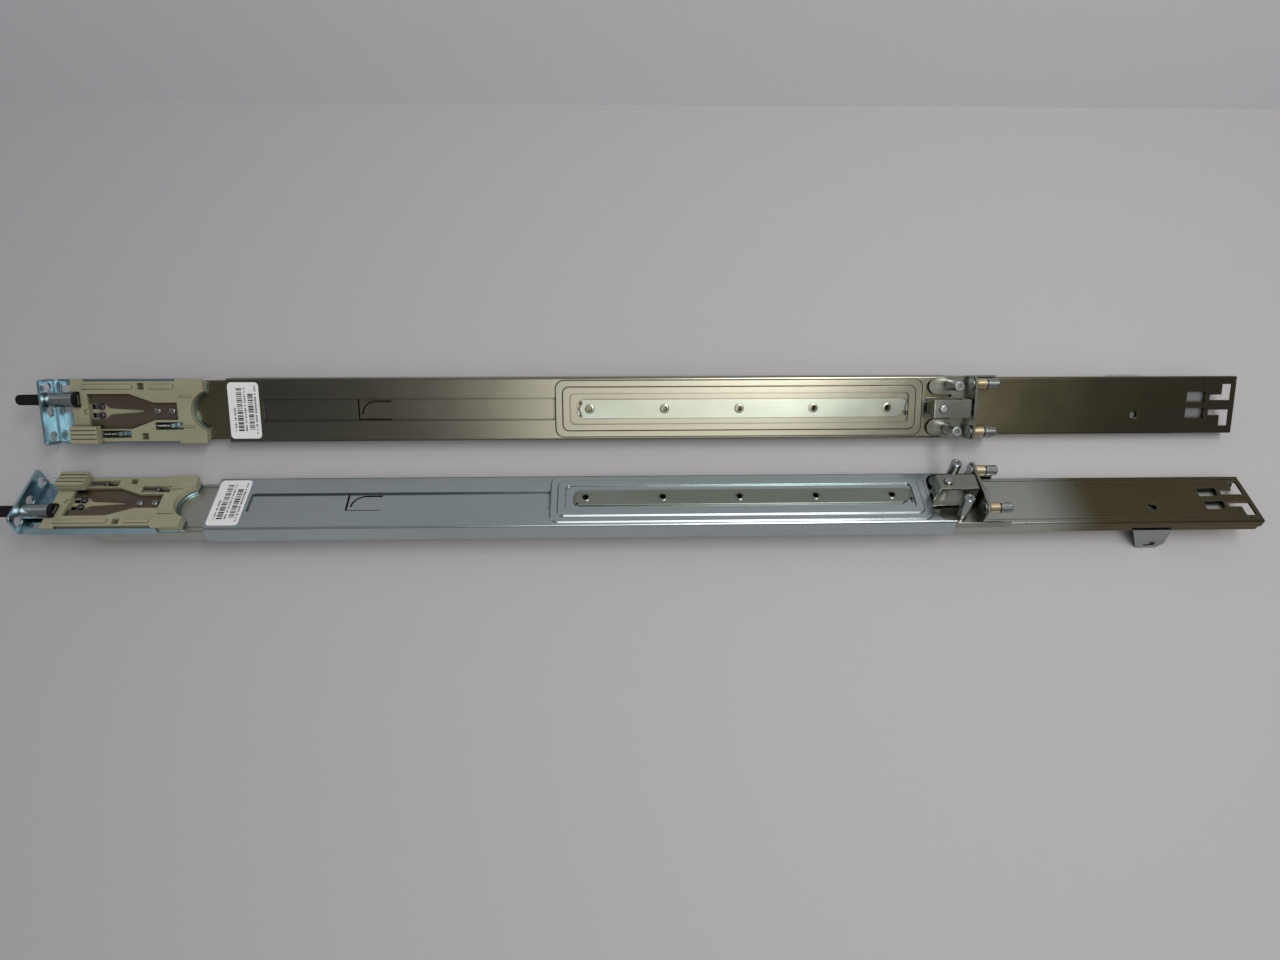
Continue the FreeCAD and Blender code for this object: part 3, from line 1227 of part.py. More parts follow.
def fork_spring(rail):
    """The brown leaf spring with two arms, riveted on its tail."""
    body = rail.body("fork_spring")
    mouth = (
        ("fork_front", "-(fork_mouth_half)"),
        ("fork_mouth_rear", "-(fork_mouth_half)"),
        ("fork_mouth_rear + fork_mouth_taper", "-(fork_slot_half)"),
        ("fork_slot_rear", "-(fork_slot_half) / 3"),
        ("fork_slot_rear", "fork_slot_half / 3"),
        ("fork_mouth_rear + fork_mouth_taper", "fork_slot_half"),
        ("fork_mouth_rear", "fork_mouth_half"),
        ("fork_front", "fork_mouth_half"),
    )
    outside = fork_points("0")
    slab(body, "housing_floor", "fork_sheet", lambda s: add_outline(s, outside))
    cut_down(body, "housing_floor + fork_sheet", "fork_sheet", lambda s: add_outline(s, mouth))

    def rivet_holes(sketch):
        for place in ("fork_rivet_first", "fork_rivet_second"):
            add_circle(sketch, place, "0", "fork_rivet_radius")
    cut_down(body, "housing_floor + fork_sheet", "fork_sheet", rivet_holes)
    top = "housing_floor + fork_sheet"

    rivets = rail.body("fork_rivets")

    def rounds(radius):
        def draw(sketch):
            for place in ("fork_rivet_first", "fork_rivet_second"):
                add_circle(sketch, place, "0", radius)
        return draw
    low = "web_top + plate_sheet"
    slab(rivets, low, f"{top} - ({low})", rounds("fork_rivet_radius"))
    slab(rivets, top, "fork_rivet_rise", rounds("fork_rivet_head"))
    head = value_of(f"{top} + fork_rivet_rise")
    dress(rivets, "Fillet", edges_where(rivets, lambda b: near(b.ZMin, head)),
          "fork_rivet_rise * 0.7")


def pull_strap(rail):
    """The black strap that is pulled to open the latch, and the bush it runs through."""
    strap = rail.body("pull_strap")
    middle = rail.side("rack_pitch / 2")
    shoulder = "plate_front - strap_gap"
    half = "strap_width / 2"
    slab(strap, "strap_level - strap_thick / 2", "strap_thick", lambda s: rail.handed_box(
        s, "strap_tip", shoulder, f"rack_pitch / 2 - {half}", f"rack_pitch / 2 + {half}"))
    tip = value_of("strap_tip")
    dress(strap, "Fillet",
          edges_where(strap, lambda b: upright_edges(b) and near(b.XMin, tip)),
          "strap_width * 0.45")
    extrusion(strap, shoulder, "slide_upright",
              lambda s: add_circle(s, middle, "strap_level", "strap_rod_radius"))

    bush = rail.body("strap_bush")
    back = "plate_front + plate_sheet"
    extrusion(bush, back, "bush_rear",
              lambda s: add_circle(s, middle, "strap_level", "bush_radius"))
    extrusion(bush, "plate_front", back,
              lambda s: add_circle(s, middle, "strap_level", "bush_spigot"))
    groove_along(bush, "plate_front", "hood_front",
                 lambda s: add_circle(s, middle, "strap_level", "strap_rod_radius + rod_play"))
    groove_along(bush, "hood_front", "bush_rear",
                 lambda s: add_circle(s, middle, "strap_level", "hood_radius"))
    floor_gap = "slide_upright_half + slip"
    groove_along(bush, "hood_front", "bush_rear", lambda s: rail.handed_box_across(
        s, f"rack_pitch / 2 - ({floor_gap})", f"rack_pitch / 2 + {floor_gap}",
        "strap_level - bush_radius", "strap_level"))


def rest_tab(rail):
    """The tab under one flange near the rear; its length is what the rail's roll asks for."""
    body = rail.body("rest_tab")
    inner = "channel_half - jog"
    drop = 2 * value_of(inner) * math.tan(math.radians(value_of("roll_degrees")))
    tip = f"channel_bottom - {drop:.4f}"
    level = f"-({inner} + tab_sheet)" if rail.hand > 0 else inner
    sketch = new_sketch(body, SIDE, level)
    front = "tab_centre - tab_length / 2"
    rear = "tab_centre + tab_length / 2"
    add_outline(sketch, (
        (front, "channel_bottom + tab_lap"),
        (rear, "channel_bottom + tab_lap"),
        (f"{rear} + tab_swell", f"{tip} + tab_corner"),
        (f"{rear} + tab_swell - tab_corner", tip),
        (f"{front} + tab_lean + tab_corner / 3", tip),
        (f"{front} + tab_lean", f"{tip} + tab_corner / 3"),
    ))
    hole = f"{front} + tab_lean + tab_corner"
    middle = f"{tip} + tab_corner / 2 + tab_hole_height / 2"
    end = "tab_hole_height / 4"
    add_outline(sketch, (
        (hole, middle),
        (f"{hole} + {end}", f"{middle} + tab_hole_height / 2"),
        (f"{hole} + tab_hole_length - {end}", f"{middle} + tab_hole_height / 2"),
        (f"{hole} + tab_hole_length", middle),
        (f"{hole} + tab_hole_length - {end}", f"{middle} - tab_hole_height / 2"),
        (f"{hole} + {end}", f"{middle} - tab_hole_height / 2"),
    ))
    pad(body, sketch, "tab_sheet")


PIECES = (
    cabinet_channel, rest_tab, front_bracket, joint_rivets, latch_housing, fork_spring,
    pull_strap, latch_slide, latch_pins, latch_springs, depth_sleeve, nut_strip, label,
    rear_bracket, rear_bridge, bridge_rivet, rack_pins, guide_posts, intermediate_channel,
    slide_stop, inner_channel, release_lever,
)


def build_rail(name, hand):
    """All the pieces of one rail, rolled onto its rest."""
    rail = Rail(name, hand)
    for piece in PIECES:
        piece(rail)
    for part in ("outer", "inner"):
        ball_cage(rail, part)
        balls(rail, part)
    roll = value_of("roll_degrees")
    angle = math.radians(roll)
    low_corner = value_of("channel_half - jog") * math.sin(angle)
    low_corner -= value_of("channel_bottom") * math.cos(angle)
    middle = -value_of("strap_tip + channel_rear") / 2
    place = FreeCAD.Vector(middle + hand * value_of("stagger"), hand * value_of("rail_offset"),
                           low_corner)
    turn = FreeCAD.Rotation(FreeCAD.Vector(1, 0, 0), hand * roll)
    for part in rail.parts:
        part.Placement = FreeCAD.Placement(place, turn)
    return rail


def check_and_write(rails):
    """Stop on any failed object or bad shape, then write one file for each piece."""
    doc.recompute()
    for item in doc.Objects:
        if "Invalid" in item.State or "Error" in item.State:
            raise RuntimeError(f"{item.Label} failed: {item.State}")
    os.makedirs("parts", exist_ok=True)
    for rail in rails:
        for part in rail.parts:
            shape = part.Shape
            if shape.isNull() or not shape.isValid() or not shape.Solids:
                raise RuntimeError(f"{part.Label} has a bad shape")
            shape.exportStep(f"parts/{part.Label}.step")
            print(f"{part.Label}: {len(shape.Solids)} solids, {shape.Volume:.1f} mm3")


check_and_write([build_rail("left", 1), build_rail("right", -1)])
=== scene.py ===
# %% [markdown]
# # A pair of sliding server rails
# Two telescoping rails lie side by side on a pale table, outer faces up. Almost everything
# on them is thin zinc-plated steel, so the picture depends on three things: sheet edges that
# are slightly rounded and catch light, plating whose tint wanders along the rail, and a room
# for the metal to mirror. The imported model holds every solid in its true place. This script
# gives those solids their edges and finishes, and adds the fine pieces that solids leave plain.

# %% Load the frame
import json
import math
import random

import bmesh
import bpy
from mathutils import Matrix, Vector


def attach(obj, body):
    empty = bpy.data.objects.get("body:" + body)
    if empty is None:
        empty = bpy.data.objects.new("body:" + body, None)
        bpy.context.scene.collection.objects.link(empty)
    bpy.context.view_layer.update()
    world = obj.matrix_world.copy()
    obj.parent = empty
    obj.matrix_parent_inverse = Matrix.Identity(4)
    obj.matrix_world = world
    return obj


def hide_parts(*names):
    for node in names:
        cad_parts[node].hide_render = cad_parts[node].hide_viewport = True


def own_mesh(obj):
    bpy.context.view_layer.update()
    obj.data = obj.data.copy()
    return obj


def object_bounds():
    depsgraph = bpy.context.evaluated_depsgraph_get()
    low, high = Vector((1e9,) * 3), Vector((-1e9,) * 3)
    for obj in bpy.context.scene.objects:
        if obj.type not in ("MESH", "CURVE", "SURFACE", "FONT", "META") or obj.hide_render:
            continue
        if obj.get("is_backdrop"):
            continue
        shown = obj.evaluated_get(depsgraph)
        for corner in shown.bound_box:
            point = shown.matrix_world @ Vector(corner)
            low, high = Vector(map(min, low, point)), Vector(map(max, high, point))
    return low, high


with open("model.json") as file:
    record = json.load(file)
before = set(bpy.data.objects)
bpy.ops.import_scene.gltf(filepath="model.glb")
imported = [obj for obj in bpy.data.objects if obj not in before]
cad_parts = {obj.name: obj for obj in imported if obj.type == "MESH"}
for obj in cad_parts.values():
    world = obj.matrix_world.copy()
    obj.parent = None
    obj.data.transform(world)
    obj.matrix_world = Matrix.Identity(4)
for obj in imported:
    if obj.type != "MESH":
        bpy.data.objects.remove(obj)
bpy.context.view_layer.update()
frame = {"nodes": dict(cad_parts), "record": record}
MM = 0.001
SIDES = {"left": 1, "right": -1}

# %% [markdown]
# ## Where a rail's own coordinates lie
# Each rail leans on its rest, so its faces are square to nothing in the scene. A helper that
# turns a rail's own millimetres (back along the rail, across it, and out of its face) into
# scene metres keeps every later cell simple. A second helper goes the other way and measures
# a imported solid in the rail's own millimetres, so later cells take their places from solids.

# %% A rail's own frame
LEAN = math.radians(25.6)
RAIL_OFFSET = 31.1
STAGGER = 1.3
CENTRE_SHIFT = -1.5
FLANGE_REACH = 18.2
FLANGE_DEPTH = 14.7
FACE_LEVEL = FLANGE_REACH * math.sin(LEAN) + FLANGE_DEPTH * math.cos(LEAN)


def rail_matrix(side):
    """Takes a rail's own millimetres to scene metres."""
    hand = SIDES[side]
    place = Vector((CENTRE_SHIFT + hand * STAGGER, hand * RAIL_OFFSET, FACE_LEVEL))
    return (Matrix.Scale(MM, 4) @ Matrix.Translation(place)
            @ Matrix.Rotation(hand * LEAN, 4, "X"))


def own_points(side, kind):
    """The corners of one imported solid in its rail's own millimetres."""
    back = rail_matrix(side).inverted()
    return [back @ corner.co for corner in frame["nodes"][f"{side}_{kind}"].data.vertices]


def own_box(points):
    """The lowest and the highest corner round some points."""
    low = Vector([min(point[axis] for point in points) for axis in range(3)])
    high = Vector([max(point[axis] for point in points) for axis in range(3)])
    return low, high


sleeve_low, sleeve_high = own_box(own_points("left", "depth_sleeve"))
print("the sleeve runs from", round(sleeve_low.x, 1), "to", round(sleeve_high.x, 1), "mm")

# %% [markdown]
# ## The camera
# The rails are seen from above and a little from the front, through a wide lens that takes in
# their whole length, so the ends lean away from the middle.

# %% Camera
SENSOR_WIDTH = 36.0
LENS = 23.08
NEAREST = 0.01
CAMERA_PLACE = Vector((-18.33, -159.07, 535.82))
AXIS_X = Vector((0.99950, -0.01573, 0.02737))
AXIS_Y = Vector((0.00795, 0.96448, 0.26404))

camera_data = bpy.data.cameras.new("camera")
camera_data.sensor_width = SENSOR_WIDTH
camera_data.lens = LENS
camera_data.clip_start = NEAREST
camera = bpy.data.objects.new("camera", camera_data)
bpy.context.scene.collection.objects.link(camera)
bpy.context.scene.camera = camera
turn = Matrix((AXIS_X, AXIS_Y, AXIS_X.cross(AXIS_Y))).transposed()
camera.matrix_world = Matrix.LocRotScale(CAMERA_PLACE * MM, turn.to_quaternion(), None)
print("camera stands at", [round(v, 3) for v in camera.location])

# %% [markdown]
# ## Floor, room and light
# Plated steel shows the room more than itself. One rail leans towards the viewer and mirrors
# what hangs behind the camera; the other leans away and mirrors the pale backdrop. So the
# dim key lamp hangs high behind the viewer and a little to the right, where only the first
# rail's middle mirrors it, and the lamp that lights the floor hangs where neither face does.
# The floor is one plain pale colour. The backdrop is clear from behind, so that it hides
# nothing when the rails are seen from the other side.

# %% Stage
FLOOR_SIZE = (6, 4)
FLOOR_DROP = (0, 0, -0.0005)
FLOOR_COLOUR = (0.44, 0.43, 0.44)
BACKDROP_SIZE = (6, 1.6)
BACKDROP_PLACE = (0, 0.455, 0.782)
BACKDROP_TILT = math.radians(78)
BACKDROP_COLOUR = (0.62, 0.62, 0.65)
STAGE_ROUGHNESS = 0.75
STAGE_SPECULAR = 0.25


def stage_sheet(name, size, location, tilt, colour, one_sided=False):
    """One flat sheet of the stage; a one-sided one is clear from behind."""
    mesh = bpy.data.meshes.new(name)
    work = bmesh.new()
    bmesh.ops.create_grid(work, x_segments=1, y_segments=1, size=0.5)
    bmesh.ops.scale(work, verts=work.verts, vec=(size[0], size[1], 1))
    bmesh.ops.rotate(work, verts=work.verts, matrix=Matrix.Rotation(tilt, 3, "X"))
    bmesh.ops.translate(work, verts=work.verts, vec=location)
    work.to_mesh(mesh)
    work.free()
    sheet = bpy.data.objects.new(name, mesh)
    bpy.context.scene.collection.objects.link(sheet)
    material = bpy.data.materials.new(name)
    material.use_nodes = True
    shader = material.node_tree.nodes["Principled BSDF"]
    shader.inputs["Base Color"].default_value = (*colour, 1)
    shader.inputs["Roughness"].default_value = STAGE_ROUGHNESS
    shader.inputs["Specular IOR Level"].default_value = STAGE_SPECULAR
    if one_sided:
        tree = material.node_tree
        side = tree.nodes.new("ShaderNodeNewGeometry")
        clear = tree.nodes.new("ShaderNodeBsdfTransparent")
        choice = tree.nodes.new("ShaderNodeMixShader")
        tree.links.new(side.outputs["Backfacing"], choice.inputs[0])
        tree.links.new(shader.outputs[0], choice.inputs[1])
        tree.links.new(clear.outputs[0], choice.inputs[2])
        tree.links.new(choice.outputs[0], tree.nodes["Material Output"].inputs["Surface"])
    mesh.materials.append(material)
    sheet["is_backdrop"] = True


stage_sheet("floor", FLOOR_SIZE, FLOOR_DROP, 0, FLOOR_COLOUR)
stage_sheet("backdrop", BACKDROP_SIZE, BACKDROP_PLACE, BACKDROP_TILT, BACKDROP_COLOUR,
            one_sided=True)

# %% Lamps and room
# name, place, where it points, size, watts, colour
LAMPS = (
    ("key", (0.13, -0.75, 1.30), (0.05, 0, 0), (0.75, 0.9), 3.6, (1.0, 0.985, 0.95)),
    ("overhead", (0.40, -0.05, 1.2), (0.15, 0, 0), (1.0, 0.35), 9.5, (1.0, 0.985, 0.965)),
    ("window", (-1.5, 0.35, 0.9), (0, 0, 0), (0.7, 0.7), 2.5, (0.88, 0.93, 1.0)),
)
ROOM_COLOUR = (0.28, 0.28, 0.29)
ROOM_STRENGTH = 0.62


def soft_lamp(name, location, aim, size, power, colour):
    """An area lamp that points at a place."""
    data = bpy.data.lights.new(name, "AREA")
    data.shape = "RECTANGLE"
    data.size, data.size_y = size
    data.energy = power
    data.color = colour
    lamp = bpy.data.objects.new(name, data)
    lamp.location = location
    lamp.rotation_mode = "QUATERNION"
    lamp.rotation_quaternion = (Vector(aim) - Vector(location)).to_track_quat("-Z", "Y")
    bpy.context.scene.collection.objects.link(lamp)


for lamp in LAMPS:
    soft_lamp(*lamp)
world = bpy.data.worlds.new("room")
world.use_nodes = True
background = world.node_tree.nodes["Background"]
background.inputs["Color"].default_value = (*ROOM_COLOUR, 1)
background.inputs["Strength"].default_value = ROOM_STRENGTH
bpy.context.scene.world = world
bpy.context.scene.view_settings.view_transform = "Standard"
print(len(LAMPS), "lamps of", sum(lamp[4] for lamp in LAMPS), "W together")

# %% [markdown]
# ## Shared effects
# Four effects return in many finishes: plating whose tint drifts along the rail, fine
# drawing lines that run lengthwise in rolled sheet, a lighter line on edges that is partly
# wear and partly painted highlight, and painted shade deep in inner corners. Each is a group
# with named inputs, so that a finish is only a handful of numbers.

# %% Node helpers


def new_group(name, inputs, outputs):
    """An empty node group with typed sockets."""
    group = bpy.data.node_groups.new(name, "ShaderNodeTree")
    for label, kind, value in inputs:
        socket = group.interface.new_socket(label, in_out="INPUT", socket_type=kind)
        socket.default_value = value
    for label, kind in outputs:
        group.interface.new_socket(label, in_out="OUTPUT", socket_type=kind)
    return group, group.nodes.new("NodeGroupInput"), group.nodes.new("NodeGroupOutput")


def add_node(tree, kind, links=(), **settings):
    """A node with settings, numbered or named input values, and incoming links."""
    node = tree.nodes.new(kind)
    values = settings.pop("values", {})
    for key, value in settings.items():
        setattr(node, key, value)
    for key, value in values.items():
        node.inputs[key].default_value = value
    for key, source in links:
        tree.links.new(source, node.inputs[key])
    return node


def print_group(group):
    """Say what a finished group takes in."""
    names = [item.name for item in group.interface.items_tree if item.in_out == "INPUT"]
    print("group", group.name, "takes", ", ".join(names))


# %% Plating drift: two tints that wander along the rail
FLOAT, COLOUR = "NodeSocketFloat", "NodeSocketColor"
drift, drift_in, drift_out = new_group(
    "plating_drift",
    (("Light Tint", COLOUR, (0.6, 0.6, 0.6, 1)), ("Dark Tint", COLOUR, (0.4, 0.4, 0.4, 1)),
     ("Patch Size", FLOAT, 14.0), ("Amount", FLOAT, 0.6)),
    (("Color", COLOUR),))
place = add_node(drift, "ShaderNodeTexCoord")
stretch = add_node(drift, "ShaderNodeMapping", [("Vector", place.outputs["Object"])],
                   values={"Scale": (0.35, 1.0, 1.0)})
cloud = add_node(drift, "ShaderNodeTexNoise",
                 [("Vector", stretch.outputs[0]), ("Scale", drift_in.outputs["Patch Size"])],
                 values={"Detail": 4.0, "Roughness": 0.55})
spread = add_node(drift, "ShaderNodeMapRange", [("Value", cloud.outputs["Fac"])],
                  values={"From Min": 0.35, "From Max": 0.65})
share = add_node(drift, "ShaderNodeMath",
                 [(0, spread.outputs[0]), (1, drift_in.outputs["Amount"])],
                 operation="MULTIPLY")
blend = add_node(drift, "ShaderNodeMix",
                 [(0, share.outputs[0]), (6, drift_in.outputs["Light Tint"]),
                  (7, drift_in.outputs["Dark Tint"])], data_type="RGBA")
drift.links.new(blend.outputs[2], drift_out.inputs["Color"])
print_group(drift)

# %% Rolled sheet: fine lines along the rail and a little orange peel
lines, lines_in, lines_out = new_group(
    "rolled_sheet",
    (("Line Depth", FLOAT, 0.3), ("Base Roughness", FLOAT, 0.3), ("Roughness Spread", FLOAT, 0.1)),
    (("Height", FLOAT), ("Roughness", FLOAT)))
place = add_node(lines, "ShaderNodeTexCoord")
along = add_node(lines, "ShaderNodeMapping", [("Vector", place.outputs["Object"])],
                 values={"Scale": (6.0, 1400.0, 1400.0)})
streak = add_node(lines, "ShaderNodeTexNoise", [("Vector", along.outputs[0])],
                  values={"Scale": 1.0, "Detail": 2.0})
peel = add_node(lines, "ShaderNodeTexNoise", [("Vector", place.outputs["Object"])],
                values={"Scale": 320.0, "Detail": 2.0})
deep = add_node(lines, "ShaderNodeMath",
                [(0, streak.outputs["Fac"]), (1, lines_in.outputs["Line Depth"])],
                operation="MULTIPLY")
height = add_node(lines, "ShaderNodeMath",
                  [(0, peel.outputs["Fac"]), (2, deep.outputs[0])],
                  operation="MULTIPLY_ADD", values={1: 0.25})
patch = add_node(lines, "ShaderNodeTexNoise", [("Vector", place.outputs["Object"])],
                 values={"Scale": 40.0, "Detail": 3.0})
centred = add_node(lines, "ShaderNodeMath", [(0, patch.outputs["Fac"])], operation="SUBTRACT",
                   values={1: 0.5})
rough = add_node(lines, "ShaderNodeMath",
                 [(0, centred.outputs[0]), (1, lines_in.outputs["Roughness Spread"]),
                  (2, lines_in.outputs["Base Roughness"])], operation="MULTIPLY_ADD")
lines.links.new(height.outputs[0], lines_out.inputs["Height"])
lines.links.new(rough.outputs[0], lines_out.inputs["Roughness"])
print_group(lines)

# %% Edge wear and painted highlight: a mask that rises where the surface bends sharply, outwards or inwards
wear_and_highlight, wear_and_highlight_in, wear_and_highlight_out = new_group(
    "edge_wear_and_painted_highlight", (("Softness", FLOAT, 0.5), ("Strength", FLOAT, 1.0)), (("Mask", FLOAT),))
shape = add_node(wear_and_highlight, "ShaderNodeNewGeometry")
rounded = add_node(wear_and_highlight, "ShaderNodeBevel", values={"Radius": 0.0004})
facing = add_node(wear_and_highlight, "ShaderNodeVectorMath",
                  [(0, rounded.outputs[0]), (1, shape.outputs["Normal"])],
                  operation="DOT_PRODUCT")
edge = add_node(wear_and_highlight, "ShaderNodeMapRange", [("Value", facing.outputs["Value"])],
                values={"From Min": 0.995, "From Max": 0.90})
speck = add_node(wear_and_highlight, "ShaderNodeTexNoise", values={"Scale": 260.0, "Detail": 3.0})
place = add_node(wear_and_highlight, "ShaderNodeTexCoord")
wear_and_highlight.links.new(place.outputs["Object"], speck.inputs["Vector"])
broken = add_node(wear_and_highlight, "ShaderNodeMath",
                  [(0, speck.outputs["Fac"]), (1, wear_and_highlight_in.outputs["Softness"])], operation="ADD")
mask = add_node(wear_and_highlight, "ShaderNodeMath", [(0, edge.outputs[0]), (1, broken.outputs[0])],
                operation="MULTIPLY", use_clamp=True)
final = add_node(wear_and_highlight, "ShaderNodeMath", [(0, mask.outputs[0]), (1, wear_and_highlight_in.outputs["Strength"])],
                 operation="MULTIPLY", use_clamp=True)
wear_and_highlight.links.new(final.outputs[0], wear_and_highlight_out.inputs["Mask"])
print_group(wear_and_highlight)

# %% Corner shade: a mask that falls towards 0 deep in inner corners
corner, corner_in, corner_out = new_group(
    "corner_shade", (("Reach", FLOAT, 0.003), ("Floor", FLOAT, 0.25)), (("Mask", FLOAT),))
nearby = add_node(corner, "ShaderNodeAmbientOcclusion", [("Distance", corner_in.outputs["Reach"])])
depth = add_node(corner, "ShaderNodeMapRange",
                 [("Value", nearby.outputs["AO"]), ("To Min", corner_in.outputs["Floor"])],
                 values={"From Min": 0.35, "From Max": 0.9})
corner.links.new(depth.outputs[0], corner_out.inputs["Mask"])
print_group(corner)

# %% [markdown]
# ## Plated steel
# Zinc plating is a mirror that has been roughened: metallic, quite smooth, with a passivated
# film that tints it olive, yellow or pale blue. One maker covers every plated piece, and each
# gets its own tints, patch size and roughness. The long channels and one sleeve also get a
# painted reflection: their colour changes once along their length, darker towards the rear on
# the channels and lighter towards the rear on the sleeve.

# %% Plated steel finishes
TINT_SHARE = 0.8
EDGE_WEAR_AND_HIGHLIGHT = 0.5
WEAR_HIGHLIGHT_GAIN, WEAR_HIGHLIGHT_LIFT = 1.35, 0.08
ROUGHNESS_SPREAD = 0.12
SHEET_RELIEF = 0.0004


def shaded(tree, colour):
    """The same colour with painted shade: darker in inner corners."""
    nook = add_node(tree, "ShaderNodeGroup", node_tree=corner)
    shade = add_node(tree, "ShaderNodeMix", [(6, colour), (7, nook.outputs["Mask"])],
                     data_type="RGBA", blend_type="MULTIPLY")
    shade.inputs[0].default_value = 1.0
    return shade.outputs[2]


def plated(name, light, dark, roughness=0.3, patch=14.0, line_depth=0.3, bump=0.06,
           along=None):
    """A metal finish: drifting tint, rolled lines, edges lighter from wear and painted highlight,
    painted shade in inner corners; along is (start, end, tint) of a painted reflection.
    """
    material = bpy.data.materials.new(name)
    material.use_nodes = True
    tree = material.node_tree
    shader = tree.nodes["Principled BSDF"]
    shader.inputs["Metallic"].default_value = 1.0
    tint = add_node(tree, "ShaderNodeGroup", node_tree=drift,
                    values={"Light Tint": (*light, 1), "Dark Tint": (*dark, 1),
                            "Patch Size": patch, "Amount": TINT_SHARE})
    sheet = add_node(tree, "ShaderNodeGroup", node_tree=lines,
                     values={"Line Depth": line_depth, "Base Roughness": roughness,
                             "Roughness Spread": ROUGHNESS_SPREAD})
    wear_highlight_mask = add_node(tree, "ShaderNodeGroup", node_tree=wear_and_highlight, values={"Strength": EDGE_WEAR_AND_HIGHLIGHT})
    colour = tint.outputs["Color"]
    # Painted reflection: between start and end along X the colour changes into a second tint.
    if along:
        start, end, reflection_tint = along
        place = add_node(tree, "ShaderNodeTexCoord")
        axes = add_node(tree, "ShaderNodeSeparateXYZ", [(0, place.outputs["Object"])])
        reach = add_node(tree, "ShaderNodeMapRange", [("Value", axes.outputs["X"])],
                         interpolation_type="SMOOTHSTEP",
                         values={"From Min": start, "From Max": end})
        reflection_fade = add_node(tree, "ShaderNodeMix", [(0, reach.outputs[0]), (6, colour)],
                        data_type="RGBA")
        reflection_fade.inputs[7].default_value = (*reflection_tint, 1)
        colour = reflection_fade.outputs[2]
    # Where the edge mask rises the colour turns lighter: partly wear, partly a painted highlight.
    wear_highlight_colour = tuple(min(1.0, value * WEAR_HIGHLIGHT_GAIN + WEAR_HIGHLIGHT_LIFT) for value in light)
    coat = add_node(tree, "ShaderNodeMix",
                    [(0, wear_highlight_mask.outputs["Mask"]), (6, colour)], data_type="RGBA")
    coat.inputs[7].default_value = (*wear_highlight_colour, 1)
    tree.links.new(shaded(tree, coat.outputs[2]), shader.inputs["Base Color"])
    tree.links.new(sheet.outputs["Roughness"], shader.inputs["Roughness"])
    relief = add_node(tree, "ShaderNodeBump", [("Height", sheet.outputs["Height"])],
                      values={"Strength": bump, "Distance": SHEET_RELIEF})
    tree.links.new(relief.outputs[0], shader.inputs["Normal"])
    return material


# along gives a painted reflection: the channels turn darker towards the rear, the left sleeve
# lighter.
FINISH = {
    "channel_left": plated("olive_channel", (0.23, 0.205, 0.125), (0.15, 0.135, 0.08), 0.28,
                           along=(0.20, 0.34, (0.10, 0.09, 0.055))),
    "channel_right": plated("grey_channel", (0.50, 0.53, 0.47), (0.40, 0.43, 0.38), 0.28,
                            along=(0.25, 0.30, (0.11, 0.092, 0.045))),
    "zinc_pale": plated("pale_zinc", (0.40, 0.43, 0.42), (0.30, 0.33, 0.32), 0.26, patch=40),
    "zinc_blue": plated("blue_zinc", (0.50, 0.70, 0.75), (0.26, 0.38, 0.45), 0.24, patch=36),
    "zinc_rear": plated("rear_zinc", (0.36, 0.37, 0.31), (0.23, 0.25, 0.21), 0.22, patch=30),
    "zinc_strip": plated("strip_zinc", (0.36, 0.39, 0.33), (0.27, 0.29, 0.24), 0.24, patch=20),
    "zinc_inner": plated("inner_zinc", (0.60, 0.62, 0.60), (0.44, 0.46, 0.44), 0.30),
    "sleeve_left": plated("sleeve_olive", (0.21, 0.20, 0.155), (0.14, 0.13, 0.10), 0.24, patch=9,
                          along=(-0.22, -0.09, (0.28, 0.27, 0.21))),
    "sleeve_right": plated("sleeve_blue", (0.53, 0.60, 0.61), (0.43, 0.50, 0.50), 0.24, patch=9),
    "spring_brown": plated("tinted_spring", (0.26, 0.21, 0.155), (0.17, 0.135, 0.095), 0.34,
                           patch=60, line_depth=0.6),
    "spring_wire": plated("drawn_wire", (0.55, 0.56, 0.58), (0.40, 0.41, 0.43), 0.25, patch=60),
    "pin_dark": plated("dark_oxide", (0.20, 0.14, 0.22), (0.10, 0.07, 0.11), 0.3, patch=90),
    "collar_gold": plated("yellow_zinc", (0.82, 0.70, 0.46), (0.62, 0.50, 0.28), 0.22, patch=70),
    "ball_steel": plated("ball_steel", (0.74, 0.75, 0.77), (0.66, 0.67, 0.69), 0.12, patch=90,
                         bump=0.01),
}
print(len(FINISH), "plated finishes")

# %% [markdown]
# ## Moulded plastic
# The latch housing is a cream engineering plastic with a fine spark-eroded grain, and its
# hollows get painted shade. The strap is black and softer. Both are plain dielectric
# shaders, so the work goes into the grain and the slightly uneven colour.

# %% Moulded finishes
STAIN_SIZE, STAIN_SHARE = 45.0, 0.7
GRAIN_STRENGTH, GRAIN_DEPTH = 0.25, 0.0002


def moulded(name, light, dark, roughness, grain, shine=0.45):
    """A moulded plastic with fine grain, an uneven colour and painted shade in inner corners."""
    material = bpy.data.materials.new(name)
    material.use_nodes = True
    tree = material.node_tree
    shader = tree.nodes["Principled BSDF"]
    shader.inputs["Specular IOR Level"].default_value = shine
    shader.inputs["Roughness"].default_value = roughness
    tint = add_node(tree, "ShaderNodeGroup", node_tree=drift,
                    values={"Light Tint": (*light, 1), "Dark Tint": (*dark, 1),
                            "Patch Size": STAIN_SIZE, "Amount": STAIN_SHARE})
    tree.links.new(shaded(tree, tint.outputs["Color"]), shader.inputs["Base Color"])
    place = add_node(tree, "ShaderNodeTexCoord")
    pits = add_node(tree, "ShaderNodeTexNoise", [("Vector", place.outputs["Object"])],
                    values={"Scale": grain, "Detail": 2.0})
    relief = add_node(tree, "ShaderNodeBump", [("Height", pits.outputs["Fac"])],
                      values={"Strength": GRAIN_STRENGTH, "Distance": GRAIN_DEPTH})
    tree.links.new(relief.outputs[0], shader.inputs["Normal"])
    return material


